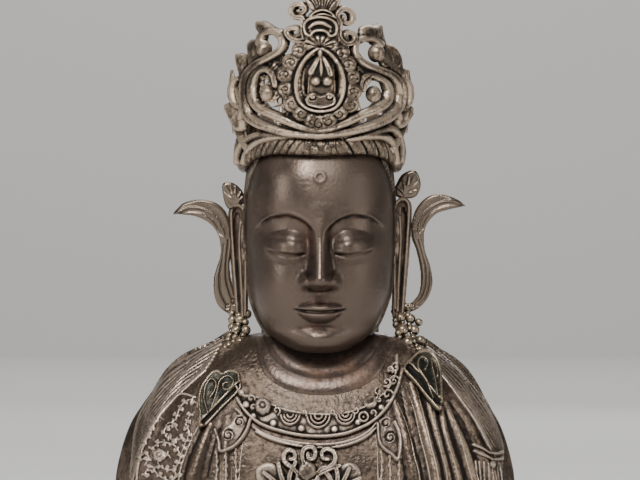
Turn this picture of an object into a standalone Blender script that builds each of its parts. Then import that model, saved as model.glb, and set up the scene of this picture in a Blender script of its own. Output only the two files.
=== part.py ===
"""Bust of Guanyin in dark cast bronze, with an openwork crown that is a casting of its own.

The face looks along -Y, +Z is up, and the origin is the centre of the flat underside.
"""

import math

import bmesh
import bpy
import numpy as np
from mathutils import Vector
from mathutils.bvhtree import BVHTree

# Driving dimensions, in metres
BUST_HEIGHT = 0.2832
SEAM_GAP = 0.0005
RIBBON_THICKNESS = 0.0030
PENDANT_THICKNESS = 0.0050
NECKLACE_BEAD = 0.0032
CROWN_ROD = 0.0054

# The wax model is laid out in parts, so many to the bust's height. Every length below is in parts.
PARTS_TALL = 283.2
PART = BUST_HEIGHT / PARTS_TALL

CHIN = 102.5
HAIRLINE = 203.0
VERTEX = 214.0
EYE_LINE = 154.6
MOUTH_LINE = 124.5
HEAD_BOW_DEG = 4.0
HEAD_PIVOT = (0.0, 4.0, 112.0)
HEAD_LIFT = 3.3
TORSO_FOOT = -6.0
SIDE_DROP = 3.2
SPECK = 1.0

BRONZE_DARK = (0.060, 0.045, 0.037, 1.0)
BRONZE_DUSTY = (0.190, 0.150, 0.115, 1.0)

# How finely each form is cut
HEAD_COLUMNS, HEAD_ROWS = 36, 30
TORSO_COLUMNS, TORSO_ROWS = 32, 13
ROD_SIDES = 5
FIGURE_SHARE = 0.5


# Curves and falloffs


def through(keys, values, at):
    """Values on a smooth curve through the stations, with no overshoot between them."""
    keys, values = np.asarray(keys, float), np.asarray(values, float)
    step = np.diff(keys)
    slope = np.diff(values) / step
    both = slope[1:] * slope[:-1]
    total = slope[1:] + slope[:-1]
    inner = np.where(both > 0, 2 * both / np.where(total == 0, 1, total), 0)
    tangent = np.concatenate([[slope[0]], inner, [slope[-1]]])
    at = np.clip(at, keys[0], keys[-1])
    i = np.clip(np.searchsorted(keys, at, side="right") - 1, 0, len(keys) - 2)
    t = (at - keys[i]) / step[i]
    start = values[i] * (1 + 2 * t) + tangent[i] * step[i] * t
    end = values[i + 1] * (3 - 2 * t) + tangent[i + 1] * step[i] * (t - 1)
    return start * (1 - t) ** 2 + end * t**2


def fade(low, high, value):
    """0 below low, 1 above high, and smooth between them."""
    t = np.clip((value - low) / (high - low), 0, 1)
    return t * t * (3 - 2 * t)


def hill(value, centre, width):
    """A smooth hill of height 1."""
    return np.exp(-(((value - centre) / width) ** 2))


def spline(points, count):
    """A smooth line of so many points through the given ones, evenly spaced along it."""
    points = np.asarray(points, float)
    ends = np.vstack([2 * points[0] - points[1], points, 2 * points[-1] - points[-2]])
    fine = []
    for a, b, c, d in zip(ends, ends[1:], ends[2:], ends[3:]):
        t = np.linspace(0, 1, 16, endpoint=False)[:, None]
        fine.append(0.5 * (2 * b + (c - a) * t + (2 * a - 5 * b + 4 * c - d) * t**2
                           + (3 * b - a - 3 * c + d) * t**3))
    fine = np.vstack([*fine, points[-1:]])
    along = np.concatenate([[0], np.cumsum(np.linalg.norm(np.diff(fine, axis=0), axis=1))])
    at = np.linspace(0, along[-1], count)
    return np.stack([np.interp(at, along, fine[:, k]) for k in range(points.shape[1])], axis=1)


# Closed forms


def shape(points, faces):
    """An object from points in parts."""
    mesh = bpy.data.meshes.new("form")
    mesh.from_pydata([tuple(p) for p in np.asarray(points) * PART], [], faces)
    mesh.validate()
    made = bpy.data.objects.new("form", mesh)
    bpy.context.scene.collection.objects.link(made)
    return made


def loft_data(rings):
    """Points and faces of a closed skin over rings of equal count, each end closed to its middle."""
    rings = np.asarray(rings, float)
    rows, columns = rings.shape[:2]
    points = np.vstack([rings.reshape(-1, 3), rings[0].mean(0), rings[-1].mean(0)])
    faces = []
    for r in range(rows - 1):
        for c in range(columns):
            d = (c + 1) % columns
            faces.append((r * columns + c, r * columns + d, (r + 1) * columns + d, (r + 1) * columns + c))
    last, foot, top = (rows - 1) * columns, rows * columns, rows * columns + 1
    for c in range(columns):
        d = (c + 1) % columns
        faces.append((d, c, foot))
        faces.append((last + c, last + d, top))
    return points, faces


def loft(rings):
    """A closed form over rings that run counterclockwise seen from its last ring."""
    return shape(*loft_data(rings))


def sweep(path, widths, depths, normals, sides=ROD_SIDES, count=None):
    """A rod or leaf along a path. Its section is widths across and depths along the normals."""
    count = count or len(path)
    at = np.linspace(0, 1, count)
    line = spline(path, count)
    stations = np.linspace(0, 1, len(path))
    widths = np.interp(at, np.linspace(0, 1, len(widths)), widths) / 2
    depths = np.interp(at, np.linspace(0, 1, len(depths)), depths) / 2
    normals = np.broadcast_to(np.asarray(normals, float), (len(path), 3))
    normals = np.stack([np.interp(at, stations, normals[:, k]) for k in range(3)], axis=1)
    along = np.gradient(line, axis=0)
    along /= np.linalg.norm(along, axis=1, keepdims=True)
    across = np.cross(normals, along)
    across /= np.linalg.norm(across, axis=1, keepdims=True)
    outward = np.cross(along, across)
    angles = np.linspace(0, 2 * math.pi, sides, endpoint=False)
    rings = (line[:, None]
             + across[:, None] * (widths[:, None] * np.cos(angles))[..., None]
             + outward[:, None] * (depths[:, None] * np.sin(angles))[..., None])
    return loft(rings)


def ball(centre, radii, turn_deg=0.0, sides=6, rows=2):
    """A bead or boss. Its radii are along X, Y and Z before it turns about Y."""
    lift = np.linspace(-1, 1, rows + 1) * math.radians(38 if rows == 1 else 75)
    angles = np.linspace(0, 2 * math.pi, sides, endpoint=False)
    rings = np.stack([
        np.stack([np.cos(a) * np.cos(angles), np.cos(a) * np.sin(angles), np.full(sides, np.sin(a))], axis=1)
        for a in lift
    ]) * np.asarray(radii, float)
    turn = math.radians(turn_deg)
    x, z = rings[..., 0].copy(), rings[..., 2].copy()
    rings[..., 0] = x * math.cos(turn) + z * math.sin(turn)
    rings[..., 2] = z * math.cos(turn) - x * math.sin(turn)
    return loft(rings + np.asarray(centre, float))


def mesh_of(made):
    """The mesh that an object's modifiers give, with the object itself removed."""
    graph = bpy.context.evaluated_depsgraph_get()
    mesh = bpy.data.meshes.new_from_object(made.evaluated_get(graph))
    bpy.data.objects.remove(made)
    return mesh


def combined(made, operands, operation):
    """The object with its operands joined to it or cut from it."""
    group = bpy.data.collections.new("operands")
    for other in operands:
        group.objects.link(other)
    change = made.modifiers.new(operation.lower(), "BOOLEAN")
    change.operation = operation
    change.operand_type = "COLLECTION"
    change.collection = group
    change.solver = "EXACT"
    bpy.context.view_layer.update()
    mesh = mesh_of(made)
    for other in list(group.objects):
        bpy.data.objects.remove(other)
    bpy.data.collections.remove(group)
    result = bpy.data.objects.new("form", mesh)
    bpy.context.scene.collection.objects.link(result)
    return result


def bowed(points):
    """Points of the drawn head and what it wears, fitted between chin and vertex and turned a little down."""
    points = np.array(points, float)
    z = points[..., 2].copy()
    fitted = np.interp(z, DRAWN_HEAD, (CHIN, HAIRLINE, VERTEX))
    points[..., 2] = fitted + np.minimum(z - DRAWN_HEAD[0], 0) + np.maximum(z - DRAWN_HEAD[-1], 0)
    turn = math.radians(HEAD_BOW_DEG)
    y, z = points[..., 1] - HEAD_PIVOT[1], points[..., 2] - HEAD_PIVOT[2]
    points[..., 1] = HEAD_PIVOT[1] + y * math.cos(turn) - z * math.sin(turn)
    points[..., 2] = HEAD_PIVOT[2] + z * math.cos(turn) + y * math.sin(turn) + HEAD_LIFT
    return points


def is_closed(data):
    """True if every edge of a mesh has a face on either side."""
    mesh = bmesh.new()
    mesh.from_mesh(data)
    closed = all(edge.is_manifold for edge in mesh.edges)
    mesh.free()
    return closed


def thinned(made, share):
    """The object with its least needed triangles merged away, or as it was where that would open it."""
    split = made.modifiers.new("split", "TRIANGULATE")
    change = made.modifiers.new("thin", "DECIMATE")
    change.ratio = share
    change.use_collapse_triangulate = True
    for method in ("BEAUTY", "CLIP"):
        split.ngon_method = method
        bpy.context.view_layer.update()
        graph = bpy.context.evaluated_depsgraph_get()
        mesh = bpy.data.meshes.new_from_object(made.evaluated_get(graph))
        if is_closed(mesh):
            made.modifiers.clear()
            made.data = mesh
            return made
    made.modifiers.clear()
    return made


def without_pockets(made):
    """The object with the sealed air between overlapping forms filled and no flat specks left."""
    mesh = bmesh.new()
    mesh.from_mesh(made.data)
    left = set(mesh.faces)
    while left:
        island, edge = set(), [left.pop()]
        while edge:
            face = edge.pop()
            island.add(face)
            for line in face.edges:
                for other in line.link_faces:
                    if other in left:
                        left.remove(other)
                        edge.append(other)
        near = next(iter(island)).verts[0].co.copy()
        volume = 0.0
        for face in island:
            first, *rest = [loop.vert.co - near for loop in face.loops]
            for a, b in zip(rest, rest[1:]):
                volume += first.dot(a.cross(b)) / 6
        if volume < SPECK * PART**3:
            bmesh.ops.delete(mesh, geom=list(island), context="FACES")
    mesh.to_mesh(made.data)
    mesh.free()
    return made


# The head, drawn with its chin, its hairline and its vertex at these heights

DRAWN_HEAD = (102.5, 203.0, 214.0)
HEAD_Z = (102.5, 103.2, 105, 108, 112, 116.5, 121, 127, 136, 150, 160, 170, 180, 190, 200, 207, 211, 213.2, 214)
HEAD_HALF = (7, 12, 16.5, 21.5, 26, 29.2, 31.4, 33.6, 35.6, 36.6, 36.8, 36.8, 36.5, 35.6, 33, 28, 21, 12, 1)
HEAD_FRONT = (-28, -36, -41, -43.4, -44, -43.2, -43.8, -44.6, -45.4, -46.2, -46.4, -47.6, -48, -46.8, -43,
              -37, -29, -17, 1)
HEAD_BACK = (-12, -11, -9, -5, 1, 7, 14, 24, 36, 45, 47, 47.5, 47, 45, 40, 33, 25, 14, 3)
HEAD_MIDDLE_Z, HEAD_MIDDLE = (102.5, 112, 121, 136, 150, 214), (-20, -16, -10, -3, 0, 2)


def nose(x, z):
    """Forward height of the nose at distance x from the middle line."""
    ridge = through((134.6, 135.6, 137.0, 138.6, 140.8, 144, 150, 157, 163, 168, 175),
                    (0, 4.0, 8.6, 11.2, 12.0, 10.8, 8.2, 5.6, 3.6, 1.6, 0), z)
    half = through((135, 137.5, 140.5, 144, 150, 157, 163, 169, 175), (5, 5.6, 5.8, 5, 4.4, 4.2, 4.4, 5.6, 8), z)
    bridge = ridge * np.exp(-((x / half) ** 2.8))
    wings = 5.4 * np.exp(-(np.abs((x - 6.9) / 3.2) ** 2.6) - np.abs((z - 139.4) / 3.6) ** 2.6)
    return np.maximum(bridge, wings) + 0.35 * np.minimum(bridge, wings)


def brow_line(x):
    """Height of the brow's edge at distance x from the middle line."""
    return through((1.5, 5, 10, 16.5, 24, 30, 35.5), (162.8, 167.2, 170.9, 172.8, 171.4, 167.4, 161.5), x)


def eye(x, z):
    """Forward height of the lowered lids, the slit between them and the hollow under the brow."""
    edge = brow_line(x)
    hollow = -2.3 * fade(-0.8, 0.8, edge - z) * (1 - fade(1, 15, edge - z)) * fade(1.5, 6, x) * (1 - fade(32, 36.5, x))
    corner = -2.4 * hill(x, 7.6, 3.4) * hill(z, 157.5, 7)
    reach = np.clip(1 - ((x - 16.4) / 11.6) ** 2 - ((z - 156.8) / 8.4) ** 2, 0, 1)
    ball_rise = 4.4 * reach**0.85
    span = np.clip(1 - ((x - 16.6) / 9.8) ** 2, 0, 1)
    level = EYE_LINE + 0.075 * (x - 16.6)
    upper, lower = level - 0.9 * span, level - 3.9 * span**0.75
    slit = -1.2 * fade(-0.4, 0.4, upper - z) * fade(-0.4, 0.4, z - lower) * fade(0, 0.25, span)
    lash = 0.5 * hill(z, upper + 0.85, 0.8) * fade(0, 0.3, span)
    return hollow + corner + ball_rise + slit + lash


def mouth(x, z):
    """Forward height of the lips, the groove over them and the dip under them."""
    mound = 1.7 * np.exp(-((x / 13) ** 2) - ((z - 125) / 8.5) ** 2)
    line = MOUTH_LINE + 1.2 * np.clip(x / 12.2, 0, 1.2) ** 2
    cover, low_cover = np.clip(1 - (x / 12.6) ** 2, 0, 1), np.clip(1 - (x / 10.8) ** 2, 0, 1)
    upper_top = line + 3.3 * cover**0.9 + 0.75 * hill(x, 3, 1.9)
    lower_foot = line - 4.9 * low_cover**0.6
    up = np.clip((z - line) / np.maximum(upper_top - line, 0.4), 0, 1)
    down = np.clip((line - z) / np.maximum(line - lower_foot, 0.4), 0, 1)
    upper = 2.2 * cover**0.6 * np.sin(math.pi * up**0.7) ** 0.8
    lower = 2.8 * low_cover**0.6 * np.sin(math.pi * down**0.72) ** 0.8
    parting = -1.0 * hill(z, line, 0.6) * (1 - fade(11.5, 13.6, x))
    groove = -0.75 * hill(x, 0, 1.8) * fade(128.6, 130, z) * (1 - fade(133, 135, z))
    dip = -1.4 * np.exp(-((x / 9) ** 2) - ((z - 117.2) / 2.3) ** 2)
    return mound + upper + lower + parting + groove + dip


def face(x, z):
    """Forward height of every feature over the plain egg of the head, at distance x from the middle."""
    cheek = 1.6 * np.exp(-(((x - 21) / 10) ** 2) - ((z - 139) / 11) ** 2)
    chin = 2.0 * np.exp(-((x / 9.5) ** 2) - ((z - 110.5) / 5) ** 2)
    return nose(x, z) + eye(x, z) + mouth(x, z) + cheek + chin


def head_rings(columns, rows):
    """Rings of the head from under the jaw to the vertex, finest over the face."""
    share = np.linspace(0, 1, rows)
    z = through((0, 0.06, 0.14, 0.82, 0.93, 1), (102.5, 104.4, 110, 190, 208, 214), share)
    half, front = through(HEAD_Z, HEAD_HALF, z), through(HEAD_Z, HEAD_FRONT, z)
    back, middle = through(HEAD_Z, HEAD_BACK, z), through(HEAD_MIDDLE_Z, HEAD_MIDDLE, z)
    turn = np.linspace(-1, 1, columns, endpoint=False)
    angle = math.pi * np.sign(turn) * (0.55 * np.abs(turn) + 0.45 * np.abs(turn) ** 2.2)
    ahead = np.cos(angle) > 0
    square = np.where(ahead[None, :], 2 / (2.05 + 0.45 * fade(104, 130, z))[:, None], 2 / 2.1)
    x = half[:, None] * np.sign(np.sin(angle)) * np.abs(np.sin(angle)) ** square
    reach = np.abs(np.cos(angle)) ** square
    z = np.broadcast_to(z[:, None], x.shape)
    y = middle[:, None] + np.where(ahead, (front - middle)[:, None], (back - middle)[:, None]) * reach
    y = y - np.where(ahead, face(np.abs(x), z) * fade(0.02, 0.3, np.cos(angle)), 0)
    return np.stack([x, y, z], axis=2), angle


def hair_mask(rings, angle):
    """1 where hair covers the head: over the crown of it, and behind the temples."""
    z = rings[..., 2]
    edge = 206 - 26 * fade(0.9, 1.45, np.abs(angle)) - 130 * fade(1.45, 1.7, np.abs(angle))
    return fade(0, 2.5, z - edge)


def head(swell=0.0):
    """The head with its hair as a cap one and a half parts proud of it."""
    rings, angle = head_rings(HEAD_COLUMNS, HEAD_ROWS)
    middle = np.array([0, 0, 165.0])
    away = rings - middle
    away[..., 2] *= 0.5
    away /= np.linalg.norm(away, axis=2, keepdims=True)
    grown = rings + away * (1.5 * hair_mask(rings, angle) + swell)[..., None]
    return loft(bowed(grown))


CHIGNON_Z = (200, 208, 217, 226, 236, 245, 251, 253)
CHIGNON_RADIUS = (20, 20, 17, 19, 22, 19, 12, 4)


def chignon(swell=0.0):
    """The topknot, tied in at its foot."""
    rings = []
    for z, radius in zip(CHIGNON_Z, CHIGNON_RADIUS):
        a = np.linspace(0, 2 * math.pi, 12, endpoint=False)
        reach = radius + swell
        rings.append(np.stack([reach * np.cos(a), 10 + reach * np.sin(a), np.full(12, z)], axis=1))
    rings[-1][:, 2] += swell
    return loft(bowed(rings))


def ear(side):
    """One long ear: a slanting slab, a rolled rim and a heavy lobe."""
    rows = ((173, 1.5, 3), (169, 4.4, 7), (162, 5.4, 10), (152, 5.2, 10), (143, 4.4, 8),
            (134, 3.8, 6.4), (125, 3.8, 6.2), (118.5, 3.6, 5.6), (114.5, 2.0, 3.0))
    rings = []
    for z, thick, deep in reversed(rows):
        a = np.linspace(0, 2 * math.pi, 8, endpoint=False)
        out, along = 0.5 * thick * np.cos(a), 0.62 * deep * np.sin(a)
        middle_x = 39.2 + 0.8 * fade(118, 150, z)
        lean = math.radians(42)
        x = middle_x + out * math.cos(lean) + along * math.sin(lean)
        y = 3.5 - out * math.sin(lean) + along * math.cos(lean)
        rings.append(np.stack([side * x, y, np.full(8, z)], axis=1))
    rings = np.array(rings)
    return loft(bowed(rings if side > 0 else rings[:, ::-1]))


def ear_rim(side):
    """The rolled rim of the ear, from its root over the top and down to the lobe."""
    path = [(37.5, -4, 154.7), (38.2, -3.6, 164.7), (40.8, 0.5, 173.2), (44.6, 5.6, 170.7), (45.8, 8, 158.7),
            (44.4, 7, 142.7), (43.2, 5, 128.7), (41.8, 2.4, 115.7)]
    path = bowed([(side * x, y, z) for x, y, z in path])
    return sweep(path, (2.0, 2.8, 3.0, 3.0, 2.8, 2.6, 2.4, 2.2), (2.4, 3.0, 3.0, 2.8), (0, -1, 0), 5, 10)


RIBBON = ((40.5, 4.5, 127.5), (47.6, 5.5, 127.4), (52.0, 6, 132.0), (52.6, 6, 138.1), (51.5, 6, 146.7),
          (49.7, 6, 153.7), (49.5, 6, 161.0), (51.4, 6, 166.9), (55.0, 6, 171.7), (60.0, 5.5, 175.3),
          (65.8, 5, 176.3), (70.8, 4.5, 175.3), (74.4, 4, 172.6))
RIBBON_WIDTHS = (9.5, 10.5, 10, 8.8, 7.6, 6.9, 8.2, 9.6, 9.4, 8.4, 7.6, 5.6, 1.0)


def ribbon(side):
    """The ribbon that leaves the ear lobe, turns up beside the ear and ends in a lotus leaf."""
    path = bowed([(side * x, y, z) for x, y, z in RIBBON]) - (0, 0, SIDE_DROP * (side < 0))
    thick = RIBBON_THICKNESS / PART
    return sweep(path, RIBBON_WIDTHS, (thick, thick, thick, thick * 1.1, thick * 0.8), (0, -1, 0), 6, 19)


def ear_leaf(side, swell=0.0):
    """The short ribbed leaf that stands over the ear."""
    path = [(38.6, 4, 170.2), (40.6, 3.5, 177.2), (43.6, 3, 185.4), (46.4, 2.6, 192.2 + swell)]
    path = bowed([(side * x, y, z) for x, y, z in path]) - (0, 0, SIDE_DROP * (side < 0))
    widths = np.array((5.5, 10.5, 13.0, 7.5)) + 2 * swell
    return sweep(path, widths, (4 + 2 * swell, 3.4 + 2 * swell), (0, -1, 0), 6, 6)


def neck():
    """The neck, with the two soft folds that ring it."""
    rings = []
    for z, radius, centre in ((60, 26, 4), (80, 31, 3), (85.5, 30.5, 2), (89, 28.2, 2), (93, 29.2, 2), (97.5, 27.6, 2),
                              (101, 26.6, 3), (112, 25.6, 3), (126, 25, 4)):
        a = np.linspace(0, 2 * math.pi, 20, endpoint=False)
        rings.append(np.stack([1.04 * radius * np.cos(a), centre + 0.94 * radius * np.sin(a), np.full(20, z)], axis=1))
    return loft(rings)


def nape():
    """The hair that falls from the back of the head over the nape."""
    path = [(0, 30, 160), (0, 28, 140), (0, 22, 120), (0, 22, 102), (0, 32, 87), (0, 40, 66)]
    return sweep(path, (36, 54, 60, 60, 66, 54), (16, 30, 38, 32, 17, 5), (0, 1, 0), 12, 8)


# The robed shoulders and chest

TORSO_Z = (TORSO_FOOT, 20, 40, 55, 67, 77, 86, 94, 99, 105, 110, 113)
TORSO_HALF = (99, 100, 99, 96, 92, 86, 79.5, 72.6, 67, 57, 45.5, 32)
TORSO_FRONT = (-47, -46.5, -45, -42.5, -39, -35, -31, -27, -24, -20.5, -17, -13)
TORSO_BACK = (46, 47, 47, 46, 44, 41, 37.5, 34, 31.5, 28.5, 25.5, 22)
TORSO_SQUARE = (2.9, 2.9, 2.8, 2.7, 2.6, 2.5, 2.4, 2.3, 2.2, 2.1, 2.0, 2.0)


def torso_rings(columns, rows):
    """Rings of the draped body from its flat foot to the base of the neck."""
    share = np.linspace(0, 1, rows)
    z = through((0, 0.45, 1), (TORSO_FOOT, 60, 113), share)
    half, front = through(TORSO_Z, TORSO_HALF, z), through(TORSO_Z, TORSO_FRONT, z)
    back, square = through(TORSO_Z, TORSO_BACK, z), through(TORSO_Z, TORSO_SQUARE, z)
    turn = np.linspace(-1, 1, columns, endpoint=False)
    angle = math.pi * np.sign(turn) * (0.8 * np.abs(turn) + 0.2 * np.abs(turn) ** 2)
    power = 2 / square[:, None]
    x = half[:, None] * np.sign(np.sin(angle)) * np.abs(np.sin(angle)) ** power
    reach = np.abs(np.cos(angle)) ** power
    y = np.where(np.cos(angle) > 0, front[:, None], back[:, None]) * reach
    shoulder_shift = -2.5 * fade(30, 85, np.abs(x))
    return np.stack([x + shoulder_shift, y, np.broadcast_to(z[:, None], x.shape)], axis=2)


class Cloth:
    """The front of the body as a surface that ornaments and folds are laid on."""

    def __init__(self):
        points, faces = loft_data(torso_rings(TORSO_COLUMNS, TORSO_ROWS))
        self.tree = BVHTree.FromPolygons([tuple(p) for p in points], faces)

    def lay(self, flat, lift=0.0, ahead=True):
        """Points (x, z) of the front or back view put on the surface, and its normals there."""
        placed, normals = [], []
        for x, z in flat:
            start = Vector((x, -200 if ahead else 200, z))
            hit, normal, _, _ = self.tree.ray_cast(start, Vector((0, 1 if ahead else -1, 0)))
            if hit is None:
                hit, normal, _, _ = self.tree.find_nearest(Vector((x, 0, z)))
            placed.append(hit + normal * lift)
            normals.append(normal)
        return np.array(placed), np.array(normals)

    def ridge(self, flat, widths, depths, lift=0.0, sides=4, count=6, ahead=True):
        """A raised fold, cord or strand along a line of the front or back view."""
        placed, normals = self.lay(spline(flat, count), lift, ahead)
        return sweep(placed, widths, depths, normals, sides)

    def boss(self, x, z, radius, height):
        """A round boss on the surface."""
        placed, normals = self.lay([(x, z)])
        return ball(placed[0], (radius, height, radius))


# Folds of the robe in the front view, each from its head to its foot: x and z of three points, width, depth
FOLDS = (
    ((35, 84), (41, 58), (47, -5), 6.0, 5.2),
    ((42, 88), (51, 60), (58, -5), 7.0, 6.0),
    ((49, 80), (60, 56), (70, -5), 6.6, 5.6),
    ((61.5, 74.5), (68, 56), (80, -5), 6.0, 5.2),
    ((66, 76), (77, 52), (88, -5), 5.6, 4.8),
    ((-52, 64), (-62, 48), (-70, -5), 6.6, 5.6),
    ((-58, 70), (-68, 52), (-80, -5), 6.0, 5.2),
    ((-42, 76), (-51, 58), (-55, -5), 6.6, 5.4),
)
BACK_FOLDS = (
    ((-62, 70), (-36, 32), (-6, -5), 9.0, 6.4),
    ((-40, 88), (-20, 48), (14, -5), 9.0, 6.4),
    ((-10, 92), (14, 54), (42, -5), 9.0, 6.4),
    ((20, 90), (42, 52), (66, -5), 9.0, 6.4),
)
STRAND_COUNT = 5


def robe(cloth):
    """Folds in front and behind, the two collar borders and the hair over the shoulders."""
    made = []
    for top, middle, foot, width, depth in FOLDS:
        made.append(cloth.ridge((top, middle, foot), (1.5, width, width), (1, depth, depth), 0))
    for top, middle, foot, width, depth in BACK_FOLDS:
        made.append(cloth.ridge((top, middle, foot), (1.5, width, width), (1, depth, depth), 0, ahead=False))
    for side in (-1, 1):
        edge = [(side * 36 - 3, 66), (side * 35 - 3.5, 48), (side * 34 - 3.5, -5)]
        made.append(cloth.ridge(edge, (9, 9, 9), (5, 5, 5), 0.4, 6, 5))
        for strand in range(STRAND_COUNT):
            t = strand / (STRAND_COUNT - 1)
            flat = [(side * (45 + 3 * t) - 2, 103 - 9 * t), (side * (64 - 1 * t) - 2, 92 - 11 * t),
                    (side * (86 - 4 * t) - 2, 69 - 15 * t)]
            made.append(cloth.ridge(flat, (3.4, 3.5, 1.5), (3.0, 3.2, 1.5), 0.3, 4, 5))
    return made


NECKLACE_LINE = ((-38, 90), (-33.5, 76), (-24, 68), (-12, 64.5), (0, 63.5), (12, 64.5), (24, 68), (33.5, 76), (38, 90))
CORD_LINE = ((-35, 66), (-24, 61.5), (-12, 58.8), (0, 57.8), (12, 58.8), (23, 61.5), (29, 66.5))


def necklace(cloth):
    """The broad collar with round flowers and beads, the cord under it, its tabs and the bird below."""
    made = [cloth.ridge(NECKLACE_LINE, (8, 10.5, 10.5, 8), (4, 5, 5, 4), 0.8, 6, 13),
            cloth.ridge(CORD_LINE, (2.4, 3, 2.4), (2.6, 3.4, 2.6), 0.8, 4, 11)]
    flowers = spline(NECKLACE_LINE, 9)[1:-1]
    for x, z in flowers:
        made.append(cloth.boss(x, z + 1.4, 3.9, 5.2))
    bead = NECKLACE_BEAD / PART
    for (x, z), (u, w) in zip(flowers, flowers[1:]):
        made.append(cloth.boss((x + u) / 2, (z + w) / 2 - 2.2, bead / 2 + 0.6, 4.6))
    for side in (-1, 1):
        tab = [(side * 34 - 2, 70), (side * 37 - 3, 61), (side * 38.5 - 4, 53)]
        made.append(cloth.ridge(tab, (6, 9, 3), (5, 6.5, 5), 1.2, 6, 5))
    made.append(cloth.ridge([(-3, 56), (-4, 48), (-2, 38), (0, 28)], (4, 8, 8, 3), (5, 7, 6, 3), 1, 6, 7))
    for side in (-1, 1):
        wing = [(side * 3 - 4, 44), (side * 12 - 4, 47), (side * 21 - 4, 45), (side * 24.5 - 4, 38), (side * 20 - 4, 32)]
        made.append(cloth.ridge(wing, (5, 9, 11, 9, 3), (5, 6.5, 7, 6, 3), 0.8, 6, 8))
        made.append(cloth.ridge([(side * 4 - 3, 47), (side * 9 - 4, 52), (side * 8 - 4, 56)], (3, 3, 3), (4, 5, 5), 0.6, 5, 4))
    return made


def pendant(cloth, side):
    """The string of beads under the ear and the pointed pendant that lies on the shoulder."""
    drop = 5.6 if side < 0 else 0.0
    top = np.array([side * 46, -9.0, 104 - drop])
    line = spline([(side * 41.6, 4, 122), (side * 42.2, -0.5, 114 - drop / 3), top], 6)
    made = [sweep(line, (3.4, 4, 5), (3, 3.6, 5), (0, -1, 0), 5)]
    for k, share in enumerate((0.3, 0.48, 0.64, 0.82, 0.96)):
        x, y, z = line[0] + (line[-1] - line[0]) * share
        aside = (0.0, -2.4, 2.8, -2.4, 2.4)[k]
        made.append(ball((x + aside, y - 1.6, z), (2.9, 2.9, 3.0)))
    flat = np.array([(46, 103.5), (48.5, 98), (51.5, 91.5), (55.5, 83), (60, 74)]) * (side, 1) - (0, drop)
    placed, normals = cloth.lay(flat, 0.4 * PENDANT_THICKNESS / PART)
    normals[:] = normals.mean(0)
    thick = PENDANT_THICKNESS / PART
    made.append(sweep(placed, (9, 17.5, 16.5, 9, 1.5), (thick, thick, thick, thick, thick * 0.6), normals, 8, 7))
    return made


def figure_forms():
    """Everything that is cast in one with the body."""
    cloth = Cloth()
    forms = [loft(torso_rings(TORSO_COLUMNS, TORSO_ROWS)), neck(), nape(), head(), chignon()]
    for side in (-1, 1):
        forms += [ear(side), ear_rim(side), ribbon(side), ear_leaf(side)]
        forms += pendant(cloth, side)
    return forms + robe(cloth) + necklace(cloth)


# The crown. A point of it is given as x and its height over the brow, and lies on a curved screen.

CROWN_BASE = DRAWN_HEAD[1]
SCREEN_H = (-16, 0, 12, 25, 38, 50, 62, 82)
SCREEN_HALF = (39.5, 41.5, 42.5, 43, 41, 37.5, 33, 28)
SCREEN_DEPTH = (45, 48.5, 50.5, 51.5, 50.5, 48, 45, 41)
SIDE_RADIUS = 46.0
BAND_H_ANGLES = (0, 0.5, 0.9, 1.3, 1.8, math.pi)
BAND_H = (3.2, 4.0, 1.5, -5, -8, -8)


def on_screen(x, h, lift=0.0):
    """The front point of the crown's screen at x across and h over the brow."""
    half, depth = through(SCREEN_H, SCREEN_HALF, h), through(SCREEN_H, SCREEN_DEPTH, h)
    share = np.clip(np.asarray(x, float) / half, -0.985, 0.985)
    slope = np.sqrt(1 - share**2)
    away = np.stack([share / half, -slope / depth], axis=-1)
    away /= np.linalg.norm(away, axis=-1, keepdims=True)
    x, y = share * half + away[..., 0] * lift, 2 - depth * slope + away[..., 1] * lift
    return np.stack([x, y, CROWN_BASE + np.asarray(h, float) + 0 * x], axis=-1)


def round_screen(angle, h, lift=0.0):
    """A point of the screen at an angle round the head, 0 in front and half a turn behind."""
    half, depth = through(SCREEN_H, SCREEN_HALF, h) + lift, through(SCREEN_H, SCREEN_DEPTH, h) + lift
    angle = np.asarray(angle, float)
    return np.stack([half * np.sin(angle), 2 - depth * np.cos(angle), CROWN_BASE + np.asarray(h, float) + 0 * angle], axis=-1)


def away_from_head(points):
    """Directions that lead straight out from the head's axis."""
    out = np.array(points, float) - (0, 2, 0)
    out[:, 2] = 0
    return out / np.linalg.norm(out, axis=1, keepdims=True)


def crown_rod(points, widths, depths=None, sides=ROD_SIDES, count=None):
    """A rod through points that already lie on the screen."""
    return sweep(bowed(points), widths, depths or widths, away_from_head(points), sides, count)


INNER_SCROLL = ((-1.3, 10.5), (10.5, 14.5), (21.5, 20), (29.5, 24.5), (34, 29.5), (34.5, 34.5), (31, 38.5),
                (26, 39.3), (22, 37), (20.4, 33))
OUTER_SCROLL = ((-1.7, 9), (13, 10.5), (25.5, 14.8), (34.5, 19.5), (39, 25), (39.6, 31), (37, 36.5), (31.5, 41),
                (25, 45), (20, 49.5), (18.8, 54.5), (21.5, 58.3), (26.5, 58.6), (30.5, 55), (31, 50.5))
ARCH = ((9, 6.5), (19, 9.5), (29, 11.4), (35, 10.8), (38.6, 4), (39.6, -4), (39.2, -13))
LEAVES = (((24, 58), (29, 61.5), (32.5, 65.5)), ((30, 50), (36, 54), (39, 58)), ((35, 42), (41, 46), (43, 51)))


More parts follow.
